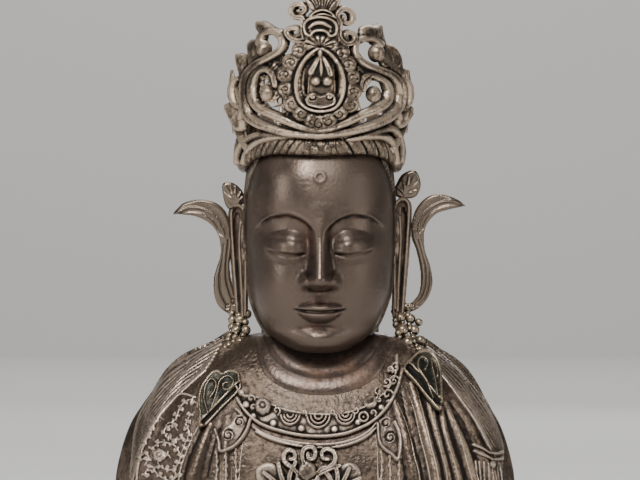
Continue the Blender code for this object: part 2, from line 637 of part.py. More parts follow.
def crown_front(side, rod):
    """The scrolls, buds and leaves of one half of the crown's front."""
    made = []
    for line, count in ((INNER_SCROLL, 11), (OUTER_SCROLL, 15), (ARCH, 7)):
        line = np.array(line)
        points = on_screen(side * line[:, 0], line[:, 1])
        made.append(crown_rod(points, (0.75 * rod, rod, rod, rod, 0.8 * rod), count=count))
    for x, h, radius in ((25.6, 31.5, 4.4), (26.0, 51.0, 4.4)):
        made.append(ball(bowed(on_screen(side * x, h)), (radius, radius * 1.1, radius * 1.2)))
    for leaf in LEAVES:
        line = np.array(leaf)
        points = on_screen(np.clip(side * line[:, 0], -40, 40), line[:, 1], 1.0)
        points[:, 0] = side * line[:, 0]
        made.append(crown_rod(points, (5.5, 7.5, 1.2), (4, 4, 1), 4, 4))
    return made


def crown_side(side, rod):
    """The scrolls, buds and flame leaves that run round the side of the crown to its back."""
    made = []
    for middle, height, radius, foot in ((1.28, 21, 9.0, 1.0), (1.86, 14, 8.0, 1.5), (2.36, 8, 6.5, 2.02)):
        turn = np.radians((-30, 25, 80, 135, 190, 250, 310))
        shrink = np.array((1.0, 1.0, 1.0, 0.95, 0.85, 0.62, 0.42))
        across = middle + radius * shrink * np.cos(turn) / SIDE_RADIUS
        up = height + radius * shrink * np.sin(turn)
        rise = float(through(BAND_H_ANGLES, BAND_H, foot))
        angle = side * np.concatenate([[foot, (foot + middle) / 2 + 0.03], across])
        up = np.concatenate([[rise, (rise + height - radius) / 2], up])
        made.append(crown_rod(round_screen(angle, up), (0.9 * rod, 1.1 * rod, 1.1 * rod, 0.8 * rod), None, 4, 10))
        made.append(ball(bowed(round_screen(side * middle, height)), (3.6, 3.6, 4.0), sides=5))
    for angle, low, high in ((1.18, 22, 50), (1.4, 21, 46), (1.64, 6, 41), (1.88, 16, 36), (2.14, 0, 30), (2.4, 9, 25)):
        points = round_screen(side * np.array((angle, angle + 0.04, angle + 0.03)), np.array((low, (low + high) / 2, high)))
        points = points + away_from_head(points) * np.array((0, 1.0, 3.5))[:, None]
        made.append(crown_rod(points, (8, 10.5, 1.2), (4, 4, 1.2), 4, 4))
    return made


def crown_band(rod):
    """The rolled band that closes round the head."""
    angle = np.linspace(0, 2 * math.pi, 29)[:-1]
    from_front = np.minimum(angle, 2 * math.pi - angle)
    height = through(BAND_H_ANGLES, BAND_H, from_front)
    points = bowed(round_screen(angle, height, -2.2))
    out = away_from_head(points)
    turn = np.linspace(0, 2 * math.pi, 5, endpoint=False)
    tall, deep = rod * 0.86, rod * 0.66
    rings = (points[:, None] + out[:, None] * (deep * np.cos(turn))[None, :, None]
             - np.array((0, 0, 1.0)) * (tall * np.sin(turn))[None, :, None])
    rows, columns = rings.shape[:2]
    faces = []
    for r in range(rows):
        s = (r + 1) % rows
        for c in range(columns):
            d = (c + 1) % columns
            faces.append((r * columns + c, r * columns + d, s * columns + d, s * columns + c))
    return shape(rings.reshape(-1, 3), faces)


def medallion(rod):
    """The pointed halo in the middle of the crown, its cloud border and the seated figure in it."""
    turn = np.linspace(0, 2 * math.pi, 17)
    point = 3.5 * np.clip(np.cos(turn), 0, 1) ** 6
    ring = np.stack([13.4 * np.sin(turn), 37 + 15.5 * np.cos(turn) + point], axis=1)
    made = [crown_rod(on_screen(ring[:, 0], ring[:, 1], 0.5), (6, 6), (3.6, 3.6), 5)]
    count = 14
    for k in range(count):
        a = 2 * math.pi * (k + 0.5) / count
        x, h = 16.6 * math.sin(a), 36.5 + 20.0 * math.cos(a) + 2.5 * max(math.cos(a), 0) ** 4
        made.append(ball(bowed(on_screen(x, h, 0.6)), (4.0, 2.8, 4.0), math.degrees(a), 5, 1))
    for x, h, radii in ((0, 25, (8.5, 3.4, 3.4)), (0, 29.5, (6.6, 3.4, 3.2)), (0, 36.5, (5.0, 3.2, 6.6)),
                        (0, 45.5, (3.3, 3.2, 4.0)), (0, 51, (2.4, 2.6, 4.0))):
        made.append(ball(bowed(on_screen(x, h, 0.6)), radii, sides=6, rows=3))
    return made


def finial(rod):
    """The curled cloud, the fan and the side curls that rise over the medallion."""
    made = [crown_rod(on_screen(np.array((0, 0, 0, 0)), np.array((50, 58, 68, 80.2))), (12, 15, 9, 17), (5, 6, 4, 2.6), 6, 7)]
    for side in (-1, 1):
        low = [(3, 58), (9, 60), (14, 58.5), (15.5, 62.5), (11.5, 65)]
        high = [(4, 66), (9, 70), (12.5, 73.5), (10, 77), (6.5, 75)]
        for line in (low, high):
            line = np.array(line, float)
            made.append(crown_rod(on_screen(side * line[:, 0], line[:, 1]), (4.6, 4.6, 2.8), None, 4, 7))
    return made


def crown_forms():
    """Every rod, leaf and bead of the openwork, each overlapping its neighbours."""
    rod = CROWN_ROD / PART
    forms = [crown_band(rod)]
    for side in (-1, 1):
        forms += crown_front(side, rod) + crown_side(side, rod)
    return forms + medallion(rod) + finial(rod)


def bronze(name, colour, roughness):
    """Bronze of one colour and polish."""
    made = bpy.data.materials.new(name)
    made.use_nodes = True
    shader = made.node_tree.nodes["Principled BSDF"]
    shader.inputs["Base Color"].default_value = colour
    shader.inputs["Metallic"].default_value = 0.7
    shader.inputs["Roughness"].default_value = roughness
    return made


def finished(made, name, material):
    """Names the solid and gives it its bronze."""
    made.name = name
    made.data.name = name
    made.data.materials.clear()
    made.data.materials.append(material)
    made.data.shade_smooth()
    made.data.set_sharp_from_angle(angle=math.radians(40))


def floor_block():
    """A block whose top is the plane the bust stands on."""
    wide = 300
    corners = [(x, y, z) for z in (-60, 0) for x, y in ((-wide, -wide), (wide, -wide), (wide, wide), (-wide, wide))]
    return shape(corners, [(3, 2, 1, 0), (4, 5, 6, 7), (0, 1, 5, 4), (1, 2, 6, 5), (2, 3, 7, 6), (3, 0, 4, 7)])


def main():
    for old in list(bpy.data.objects):
        bpy.data.objects.remove(old)
    first, *others = figure_forms()
    cast = thinned(without_pockets(combined(first, others, "UNION")), FIGURE_SHARE)
    cast = without_pockets(combined(cast, [floor_block()], "DIFFERENCE"))
    finished(cast, "figure", bronze("dark_bronze", BRONZE_DARK, 0.38))
    first, *others = crown_forms()
    openwork = without_pockets(combined(first, others, "UNION"))
    gap = SEAM_GAP / PART
    room = [head(gap), chignon(gap), ear_leaf(-1, gap), ear_leaf(1, gap)]
    openwork = without_pockets(combined(openwork, room, "DIFFERENCE"))
    finished(openwork, "crown", bronze("dusty_bronze", BRONZE_DUSTY, 0.55))


main()
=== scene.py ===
"""Looks of the bronze Guanyin bust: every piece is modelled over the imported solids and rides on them."""

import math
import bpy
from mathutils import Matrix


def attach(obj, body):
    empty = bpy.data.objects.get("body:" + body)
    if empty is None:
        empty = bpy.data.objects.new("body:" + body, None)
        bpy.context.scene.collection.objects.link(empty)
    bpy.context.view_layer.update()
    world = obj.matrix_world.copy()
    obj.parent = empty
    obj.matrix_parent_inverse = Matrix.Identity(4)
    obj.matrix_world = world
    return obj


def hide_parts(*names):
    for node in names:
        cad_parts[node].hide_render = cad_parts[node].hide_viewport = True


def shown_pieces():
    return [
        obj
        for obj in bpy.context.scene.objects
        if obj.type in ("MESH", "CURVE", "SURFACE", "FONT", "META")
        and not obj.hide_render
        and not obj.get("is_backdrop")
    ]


bl_info = {
    "name": "Bronze Guanyin Bust",
    "version": (1, 0, 0),
    "blender": (4, 5, 0),
    "location": "3D View > Sidebar > Bust",
    "description": "Models the head, robe, necklace, ribbons and openwork crown of a dark bronze bust",
    "category": "Object",
}

import bmesh
import bpy
import numpy as np
from mathutils import Vector
from mathutils.bvhtree import BVHTree

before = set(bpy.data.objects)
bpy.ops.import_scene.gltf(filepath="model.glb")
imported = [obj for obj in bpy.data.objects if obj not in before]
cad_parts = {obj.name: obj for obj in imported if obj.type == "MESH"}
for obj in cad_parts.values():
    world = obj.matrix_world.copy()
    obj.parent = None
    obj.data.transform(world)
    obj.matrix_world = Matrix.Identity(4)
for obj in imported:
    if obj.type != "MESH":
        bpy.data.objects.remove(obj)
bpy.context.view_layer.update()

# Everything is drawn in millimetres and made in metres
MM = 0.001

DRAWN_HEAD = (102.5, 203.0, 214.0)
HEAD_BOW_DEG = 4.0
HEAD_PIVOT = (0.0, 4.0, 112.0)
HEAD_LIFT = 3.3
SIDE_DROP = 3.2


# Curves and falloffs


def through(keys, values, at):
    """Values on a smooth curve through the stations, with no overshoot between them."""
    keys, values = np.asarray(keys, float), np.asarray(values, float)
    step = np.diff(keys)
    slope = np.diff(values) / step
    both = slope[1:] * slope[:-1]
    total = slope[1:] + slope[:-1]
    inner = np.where(both > 0, 2 * both / np.where(total == 0, 1, total), 0)
    tangent = np.concatenate([[slope[0]], inner, [slope[-1]]])
    at = np.clip(at, keys[0], keys[-1])
    i = np.clip(np.searchsorted(keys, at, side="right") - 1, 0, len(keys) - 2)
    t = (at - keys[i]) / step[i]
    start = values[i] * (1 + 2 * t) + tangent[i] * step[i] * t
    end = values[i + 1] * (3 - 2 * t) + tangent[i + 1] * step[i] * (t - 1)
    return start * (1 - t) ** 2 + end * t**2


def spread_along(values, at):
    """Values given at even steps of a path, read off at shares of its length."""
    values = np.atleast_1d(values)
    if len(values) == 1:
        return values[0] + 0 * at
    return through(np.linspace(0, 1, len(values)), values, at)


def fade(low, high, value):
    """0 below low, 1 above high, and smooth between them."""
    t = np.clip((value - low) / (high - low), 0, 1)
    return t * t * (3 - 2 * t)


def hill(value, centre, width):
    """A smooth hill of height 1."""
    return np.exp(-(((value - centre) / width) ** 2))


def spline(points, count):
    """A smooth line of so many points through the given ones, evenly spaced along it."""
    points = np.asarray(points, float)
    ends = np.vstack([2 * points[0] - points[1], points, 2 * points[-1] - points[-2]])
    fine = []
    for a, b, c, d in zip(ends, ends[1:], ends[2:], ends[3:]):
        t = np.linspace(0, 1, 16, endpoint=False)[:, None]
        fine.append(0.5 * (2 * b + (c - a) * t + (2 * a - 5 * b + 4 * c - d) * t**2
                           + (3 * b - a - 3 * c + d) * t**3))
    fine = np.vstack([*fine, points[-1:]])
    along = np.concatenate([[0], np.cumsum(np.linalg.norm(np.diff(fine, axis=0), axis=1))])
    at = np.linspace(0, along[-1], count)
    return np.stack([np.interp(at, along, fine[:, k]) for k in range(points.shape[1])], axis=1)


def length(points):
    """Length of a line in millimetres."""
    return float(np.linalg.norm(np.diff(np.asarray(points, float), axis=0), axis=1).sum())


def bowed(points):
    """Points of the drawn head and what it wears, turned a little down."""
    points = np.array(points, float)
    turn = math.radians(HEAD_BOW_DEG)
    y, z = points[..., 1] - HEAD_PIVOT[1], points[..., 2] - HEAD_PIVOT[2]
    points[..., 1] = HEAD_PIVOT[1] + y * math.cos(turn) - z * math.sin(turn)
    points[..., 2] = HEAD_PIVOT[2] + z * math.cos(turn) + y * math.sin(turn) + HEAD_LIFT
    return points


def grain(points, size, seed=0):
    """Smooth noise between -1 and 1 at each point, with lumps of about this size."""
    points = np.asarray(points, float) / size + seed * 17.3
    base = np.floor(points).astype(np.int64)
    part = points - base
    part = part * part * (3 - 2 * part)
    total = 0
    for corner in range(2 ** points.shape[-1]):
        weight, key = 1.0, seed * 7919
        for axis in range(points.shape[-1]):
            step = corner >> axis & 1
            weight = weight * (part[..., axis] if step else 1 - part[..., axis])
            key = key + (base[..., axis] + step) * (73856093, 19349663, 83492791)[axis]
        key = (key ^ (key >> 13)) * 1274126177 & 0x7FFFFFFF
        total = total + weight * ((key ^ (key >> 16)) % 10007 / 5003.0 - 1)
    return total


class Wax:
    """Points and faces of one piece while it is modelled, in millimetres."""

    def __init__(self):
        self.points, self.faces, self.marks, self.count = [], [], [], 0

    def add(self, points, faces, marks=None):
        """Adds a closed shell. The marks say how far each point lies under the relief round it."""
        points = np.asarray(points, float).reshape(-1, 3)
        self.points.append(points)
        self.marks.append(np.zeros(len(points)) if marks is None else marks)
        self.faces += (np.asarray(part) + self.count for part in faces)
        self.count += len(points)

    def grid(self, rings, ends=True, ring=True, marks=None):
        """A skin over rings of equal count that run counterclockwise seen from its last ring."""
        rings = np.asarray(rings, float)
        rows, columns = rings.shape[:2]
        here = np.arange(rows * columns).reshape(rows, columns)
        low, high = (here[:-1], here[1:]) if ring else (here, np.roll(here, -1, axis=0))
        quads = np.stack([low, np.roll(low, -1, 1), np.roll(high, -1, 1), high], axis=-1).reshape(-1, 4)
        points, faces = rings.reshape(-1, 3), [quads]
        if ends:
            foot, top = rows * columns, rows * columns + 1
            points = np.vstack([points, rings[0].mean(0), rings[-1].mean(0)])
            first, last = here[0], here[-1]
            faces.append(np.stack([np.roll(first, -1), first, np.full(columns, foot)], axis=-1))
            faces.append(np.stack([last, np.roll(last, -1), np.full(columns, top)], axis=-1))
            marks = None if marks is None else np.append(marks.ravel(), (0, 0))
        self.add(points, faces, None if marks is None else marks.ravel())

    def rod(self, path, widths, depths, normals, sides=10, count=None, relief=None):
        """A rod along a path: widths across it, depths along the normals, relief(across, along)."""
        path = np.asarray(path, float)
        count = count or len(path)
        at = np.linspace(0, 1, count)
        line = spline(path, count)
        stations = np.linspace(0, 1, len(path))
        widths, depths = spread_along(widths, at) / 2, spread_along(depths, at) / 2
        normals = np.broadcast_to(np.asarray(normals, float), (len(path), 3))
        normals = np.stack([np.interp(at, stations, normals[:, k]) for k in range(3)], axis=1)
        along = np.gradient(line, axis=0)
        along /= np.linalg.norm(along, axis=1, keepdims=True)
        across = np.cross(normals, along)
        across /= np.linalg.norm(across, axis=1, keepdims=True)
        outward = np.cross(along, across)
        angles = np.linspace(0, 2 * math.pi, sides, endpoint=False)
        rise = depths[:, None] * np.sin(angles)
        if relief is not None:
            rise = rise + relief(np.cos(angles)[None, :], at[:, None]) * np.clip(np.sin(angles) * 3, 0, 1)
        rings = (line[:, None] + across[:, None] * (widths[:, None] * np.cos(angles))[..., None]
                 + outward[:, None] * rise[..., None])
        self.grid(rings)

    def ball(self, centre, radii, turn_deg=0.0, sides=12, rows=7):
        """A bead or boss. Its radii are along X, Y and Z before it turns about Y."""
        lift = np.linspace(-1, 1, rows + 1) * math.radians(80)
        angles = np.linspace(0, 2 * math.pi, sides, endpoint=False)
        rings = np.stack([np.stack([np.cos(a) * np.cos(angles), np.cos(a) * np.sin(angles),
                                    np.full(sides, np.sin(a))], axis=1) for a in lift])
        rings = rings * np.asarray(radii, float)
        turn = math.radians(turn_deg)
        x, z = rings[..., 0].copy(), rings[..., 2].copy()
        rings[..., 0] = x * math.cos(turn) + z * math.sin(turn)
        rings[..., 2] = z * math.cos(turn) - x * math.sin(turn)
        self.grid(rings + np.asarray(centre, float))

    def cast(self, name, material, node):
        """The finished piece, riding on the bust in place of its solid."""
        faces = [face for part in self.faces for face in part.tolist()]
        mesh = bpy.data.meshes.new(name)
        mesh.from_pydata((np.vstack(self.points) * MM).tolist(), [], faces)
        mesh.attributes.new("drawn", "FLOAT", "POINT").data.foreach_set("value", np.concatenate(self.marks))
        mesh.validate()
        mesh.shade_smooth()
        piece = bpy.data.objects.new(name, mesh)
        bpy.context.scene.collection.objects.link(piece)
        mesh.materials.append(bpy.data.materials[material])
        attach(piece, "root")
        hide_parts(node)
        return piece


# The head, drawn with its chin, its hairline and its vertex at the heights of DRAWN_HEAD

HEAD_Z = (102.5, 103.2, 105, 108, 112, 116.5, 121, 127, 136, 150, 160, 170, 180, 190, 200, 207, 211, 213.2,
          214)
HEAD_HALF = (7, 12, 16.5, 21.5, 26, 29.2, 31.4, 33.6, 35.6, 36.6, 36.8, 36.8, 36.5, 35.6, 33, 28, 21, 12, 1)
HEAD_FRONT = (-28, -36, -41, -43.4, -44, -43.2, -43.8, -44.6, -45.4, -46.2, -46.4, -47.6, -48, -46.8, -43,
              -37, -29, -17, 1)
HEAD_BACK = (-12, -11, -9, -5, 1, 7, 14, 24, 36, 45, 47, 47.5, 47, 45, 40, 33, 25, 14, 3)
HEAD_MIDDLE_Z, HEAD_MIDDLE = (102.5, 112, 121, 136, 150, 214), (-20, -16, -10, -3, 0, 2)


def nose(x, z):
    """Forward height of the nose at distance x from the middle line."""
    ridge = through((134.4, 135.6, 137.0, 138.6, 140.8, 144, 150, 157, 164, 171, 180),
                    (0, 3.6, 8.0, 10.9, 11.9, 10.8, 8.2, 5.6, 3.3, 1.5, 0), z)
    half = through((135, 137.5, 140.5, 144, 150, 157, 163, 170, 180),
                   (5, 5.6, 5.9, 5, 4.4, 4.3, 4.8, 6.6, 11), z)
    bridge = ridge * np.exp(-((x / half) ** 2.5))
    wings = 5.1 * np.exp(-(np.abs((x - 6.8) / 3.3) ** 2.3) - np.abs((z - 139.5) / 3.8) ** 2.3)
    nostril = -1.1 * np.exp(-((x - 4.2) / 1.5) ** 2 - ((z - 135.8) / 1.2) ** 2)
    return np.maximum(bridge, wings) + 0.3 * np.minimum(bridge, wings) + nostril


def brow_line(x):
    """Height of the brow's edge at distance x from the middle line."""
    return through((1.5, 5, 10, 16.5, 24, 30, 35.5), (162.8, 167.2, 170.9, 172.8, 171.4, 167.4, 161.5), x)


def eye(x, z):
    """Forward height of the lowered lids, the slit between them and the hollow under the brow."""
    edge = brow_line(x)
    below = edge - z
    hollow = -2.2 * fade(-0.7, 0.7, below) * (1 - fade(1, 15, below))
    hollow = hollow * fade(1.5, 6, x) * (1 - fade(26, 34, x))
    crest = 0.45 * hill(z, edge + 0.9, 1.1) * fade(2, 6, x) * (1 - fade(26, 33, x))
    corner = -1.7 * hill(x, 7.0, 4.0) * hill(z, 157.5, 7)
    reach = np.clip(1 - ((x - 16.4) / 12.2) ** 2 - ((z - 156.6) / 8.8) ** 2, 0, 1)
    ball_rise = 4.5 * reach**1.25
    span = np.clip(1 - ((x - 16.6) / 10.4) ** 2, 0, 1)
    level = 154.6 + 0.075 * (x - 16.6)
    upper, lower = level - 0.7 * span, level - 3.5 * span**0.75
    slit = -1.0 * fade(-0.5, 0.3, upper - z) * fade(-0.3, 0.9, z - lower) * fade(0, 0.3, span)
    lash = 0.42 * hill(z, upper + 0.7, 0.7) * fade(0, 0.3, span)
    fold = -0.3 * hill(z, upper + 5.0 + 2.0 * span, 0.8) * fade(0.1, 0.5, span)
    return hollow + crest + corner + ball_rise + slit + lash + fold


def mouth(x, z):
    """Forward height of the lips, the groove over them and the dip under them."""
    mound = 1.7 * np.exp(-((x / 14) ** 2) - ((z - 125) / 8.5) ** 2)
    line = 124.5 + 1.2 * np.clip(x / 12.2, 0, 1.2) ** 2
    cover, low_cover = np.clip(1 - (x / 13.8) ** 2, 0, 1), np.clip(1 - (x / 12.2) ** 2, 0, 1)
    upper_top = line + 4.2 * cover**0.9 + 0.6 * hill(x, 3, 1.9)
    lower_foot = line - 5.8 * low_cover**0.6
    up = np.clip((z - line) / np.maximum(upper_top - line, 0.8), 0, 1)
    down = np.clip((line - z) / np.maximum(line - lower_foot, 0.8), 0, 1)
    upper = 3.0 * cover * np.sin(math.pi * (0.24 + 0.76 * up)) ** 1.1
    lower = 3.6 * low_cover * np.sin(math.pi * (0.24 + 0.76 * down)) ** 1.1
    above = fade(-0.6, 0.6, z - line)
    upper, lower = above * upper, (1 - above) * lower
    parting = -1.3 * hill(z, line, 0.75) * (1 - fade(11, 14.5, x))
    groove = -0.55 * hill(x, 0, 2.2) * fade(127.5, 130, z) * (1 - fade(132, 135, z))
    dip = -1.3 * np.exp(-((x / 9) ** 2) - ((z - 117.2) / 2.6) ** 2)
    return mound + upper + lower + parting + groove + dip


def face(x, z):
    """Forward height of every feature over the plain egg of the head, at distance x from the middle."""
    cheek = 1.6 * np.exp(-(((x - 21) / 10) ** 2) - ((z - 139) / 11) ** 2)
    chin = 2.0 * np.exp(-((x / 9.5) ** 2) - ((z - 110.5) / 5) ** 2)
    mark = 0.4 * hill(np.hypot(x, z - 191.5), 2.5, 0.7)
    return nose(x, z) + eye(x, z) + mouth(x, z) + cheek + chin + mark


def head_rings(columns, rows):
    """Rings of the head from under the jaw to the vertex, finest over the face."""
    share = np.linspace(0, 1, rows)
    z = through((0, 0.06, 0.14, 0.86, 0.94, 1), (102.5, 104.4, 109, 200, 209, 214), share)
    half, front = through(HEAD_Z, HEAD_HALF, z), through(HEAD_Z, HEAD_FRONT, z)
    back, middle = through(HEAD_Z, HEAD_BACK, z), through(HEAD_MIDDLE_Z, HEAD_MIDDLE, z)
    turn = np.linspace(-1, 1, columns, endpoint=False)
    angle = math.pi * np.sign(turn) * (0.5 * np.abs(turn) + 0.5 * np.abs(turn) ** 3)
    ahead = np.cos(angle) > 0
    square = np.where(ahead[None, :], 2 / (2.05 + 0.45 * fade(104, 130, z))[:, None], 2 / 2.1)
    x = half[:, None] * np.sign(np.sin(angle)) * np.abs(np.sin(angle)) ** square
    reach = np.abs(np.cos(angle)) ** square
    z = np.broadcast_to(z[:, None], x.shape)
    y = middle[:, None] + np.where(ahead, (front - middle)[:, None], (back - middle)[:, None]) * reach
    y = y - np.where(ahead, face(np.abs(x), z) * fade(0.02, 0.3, np.cos(angle)), 0)
    return np.stack([x, y, z], axis=2), angle


def hair_mask(rings, angle):
    """1 where hair covers the head: over the crown of it, and behind the temples."""
    z = rings[..., 2]
    edge = 206 - 26 * fade(0.9, 1.45, np.abs(angle)) - 130 * fade(1.45, 1.7, np.abs(angle))
    return fade(0, 2.5, z - edge)


def make_head():
    wax = Wax()
    wax.grid(bowed(head_rings(290, 250)[0]))
    return wax.cast("head", "face_bronze", "figure")


def make_hair():
    """The combed hair over the head, the topknot and the hair down the nape."""
    wax = Wax()
    rings, angle = head_rings(200, 70)
    middle = np.array([0, 0, 165.0])
    away = rings - middle
    away[..., 2] *= 0.5
    away /= np.linalg.norm(away, axis=2, keepdims=True)
    mask = hair_mask(rings, angle)
    comb = 0.45 * np.sin(angle[None, :] * 46 + 0.05 * rings[..., 2]) + 0.25 * np.sin(angle * 97)[None, :]
    grown = rings + away * (1.5 * mask - 1.2 * (1 - mask) + comb * mask)[..., None]
    wax.grid(bowed(grown))
    z = through((0, 0.3, 0.6, 0.85, 0.96, 1), (200, 216, 234, 248, 252.4, 253), np.linspace(0, 1, 80))
    radius = through((200, 208, 217, 226, 236, 245, 251, 253), (20, 20, 17, 19, 22, 19, 12, 4), z)
    a = np.linspace(0, 2 * math.pi, 140, endpoint=False)
    lock = 0.5 * np.sin(26 * a[None, :] + 0.12 * z[:, None]) + 0.25 * np.sin(55 * a)[None, :]
    reach = radius[:, None] + lock * fade(0, 6, radius)[:, None] - 0.5
    knot = np.stack([reach * np.cos(a), 10 + reach * np.sin(a), np.broadcast_to(z[:, None], reach.shape)],
                    axis=2)
    wax.grid(bowed(knot))
    path = [(0, 35, 176), (0, 32.5, 158), (0, 28, 138), (0, 22, 118), (0, 25, 101), (0, 35, 86), (0, 43, 64)]
    wax.rod(path, (8, 30, 50, 60, 60, 52, 16), (10, 21, 29, 39, 35, 18, 6), (0, 1, 0), 120, 70,
            lambda s, t: 0.22 * np.sin(46 * s + 1.5 * np.sin(4 * t)) + 0.12 * np.sin(97 * s) - 0.3)
    return wax.cast("hair", "hair_bronze", "figure")


def make_neck():
    wax = Wax()
    z = np.linspace(60, 126, 60)
    keys = (60, 80, 85.5, 89, 93, 97.5, 101, 112, 126)
    radius = through(keys, (26, 31, 30.5, 28.2, 29.2, 27.6, 26.6, 25.6, 25), z)
    centre = through(keys, (4, 3, 2, 2, 2, 2, 3, 3, 4), z)
    a = np.linspace(0, 2 * math.pi, 100, endpoint=False)
    wax.grid(np.stack([1.04 * radius[:, None] * np.cos(a),
                       centre[:, None] + 0.94 * radius[:, None] * np.sin(a),
                       np.broadcast_to(z[:, None], (60, 100))], axis=2))
    return wax.cast("neck", "face_bronze", "figure")


# The robed shoulders and chest

TORSO_Z = (-6, 20, 40, 55, 67, 77, 86, 94, 99, 105, 110, 113)
TORSO_HALF = (99, 100, 99, 96, 92, 86, 79.5, 72.6, 67, 57, 45.5, 32)
TORSO_FRONT = (-47, -46.5, -45, -42.5, -39, -35, -31, -27, -24, -20.5, -17, -13)
TORSO_BACK = (46, 47, 47, 46, 44, 41, 37.5, 34, 31.5, 28.5, 25.5, 22)
TORSO_SQUARE = (2.9, 2.9, 2.8, 2.7, 2.6, 2.5, 2.4, 2.3, 2.2, 2.1, 2.0, 2.0)


def torso_rings(columns, rows, low=0.0):
    """Rings of the draped body from its flat foot to the base of the neck."""
    z = np.linspace(low, 113, rows)
    half, front = through(TORSO_Z, TORSO_HALF, z), through(TORSO_Z, TORSO_FRONT, z)
    back, square = through(TORSO_Z, TORSO_BACK, z), through(TORSO_Z, TORSO_SQUARE, z)
    turn = np.linspace(-1, 1, columns, endpoint=False)
    angle = math.pi * np.sign(turn) * (0.8 * np.abs(turn) + 0.2 * np.abs(turn) ** 3)
    power = 2 / square[:, None]
    x = half[:, None] * np.sign(np.sin(angle)) * np.abs(np.sin(angle)) ** power
    reach = np.abs(np.cos(angle)) ** power
    y = np.where(np.cos(angle) > 0, front[:, None], back[:, None]) * reach
    shoulder_shift = -2.5 * fade(30, 85, np.abs(x))
    return np.stack([x + shoulder_shift, y, np.broadcast_to(z[:, None], x.shape)], axis=2), angle


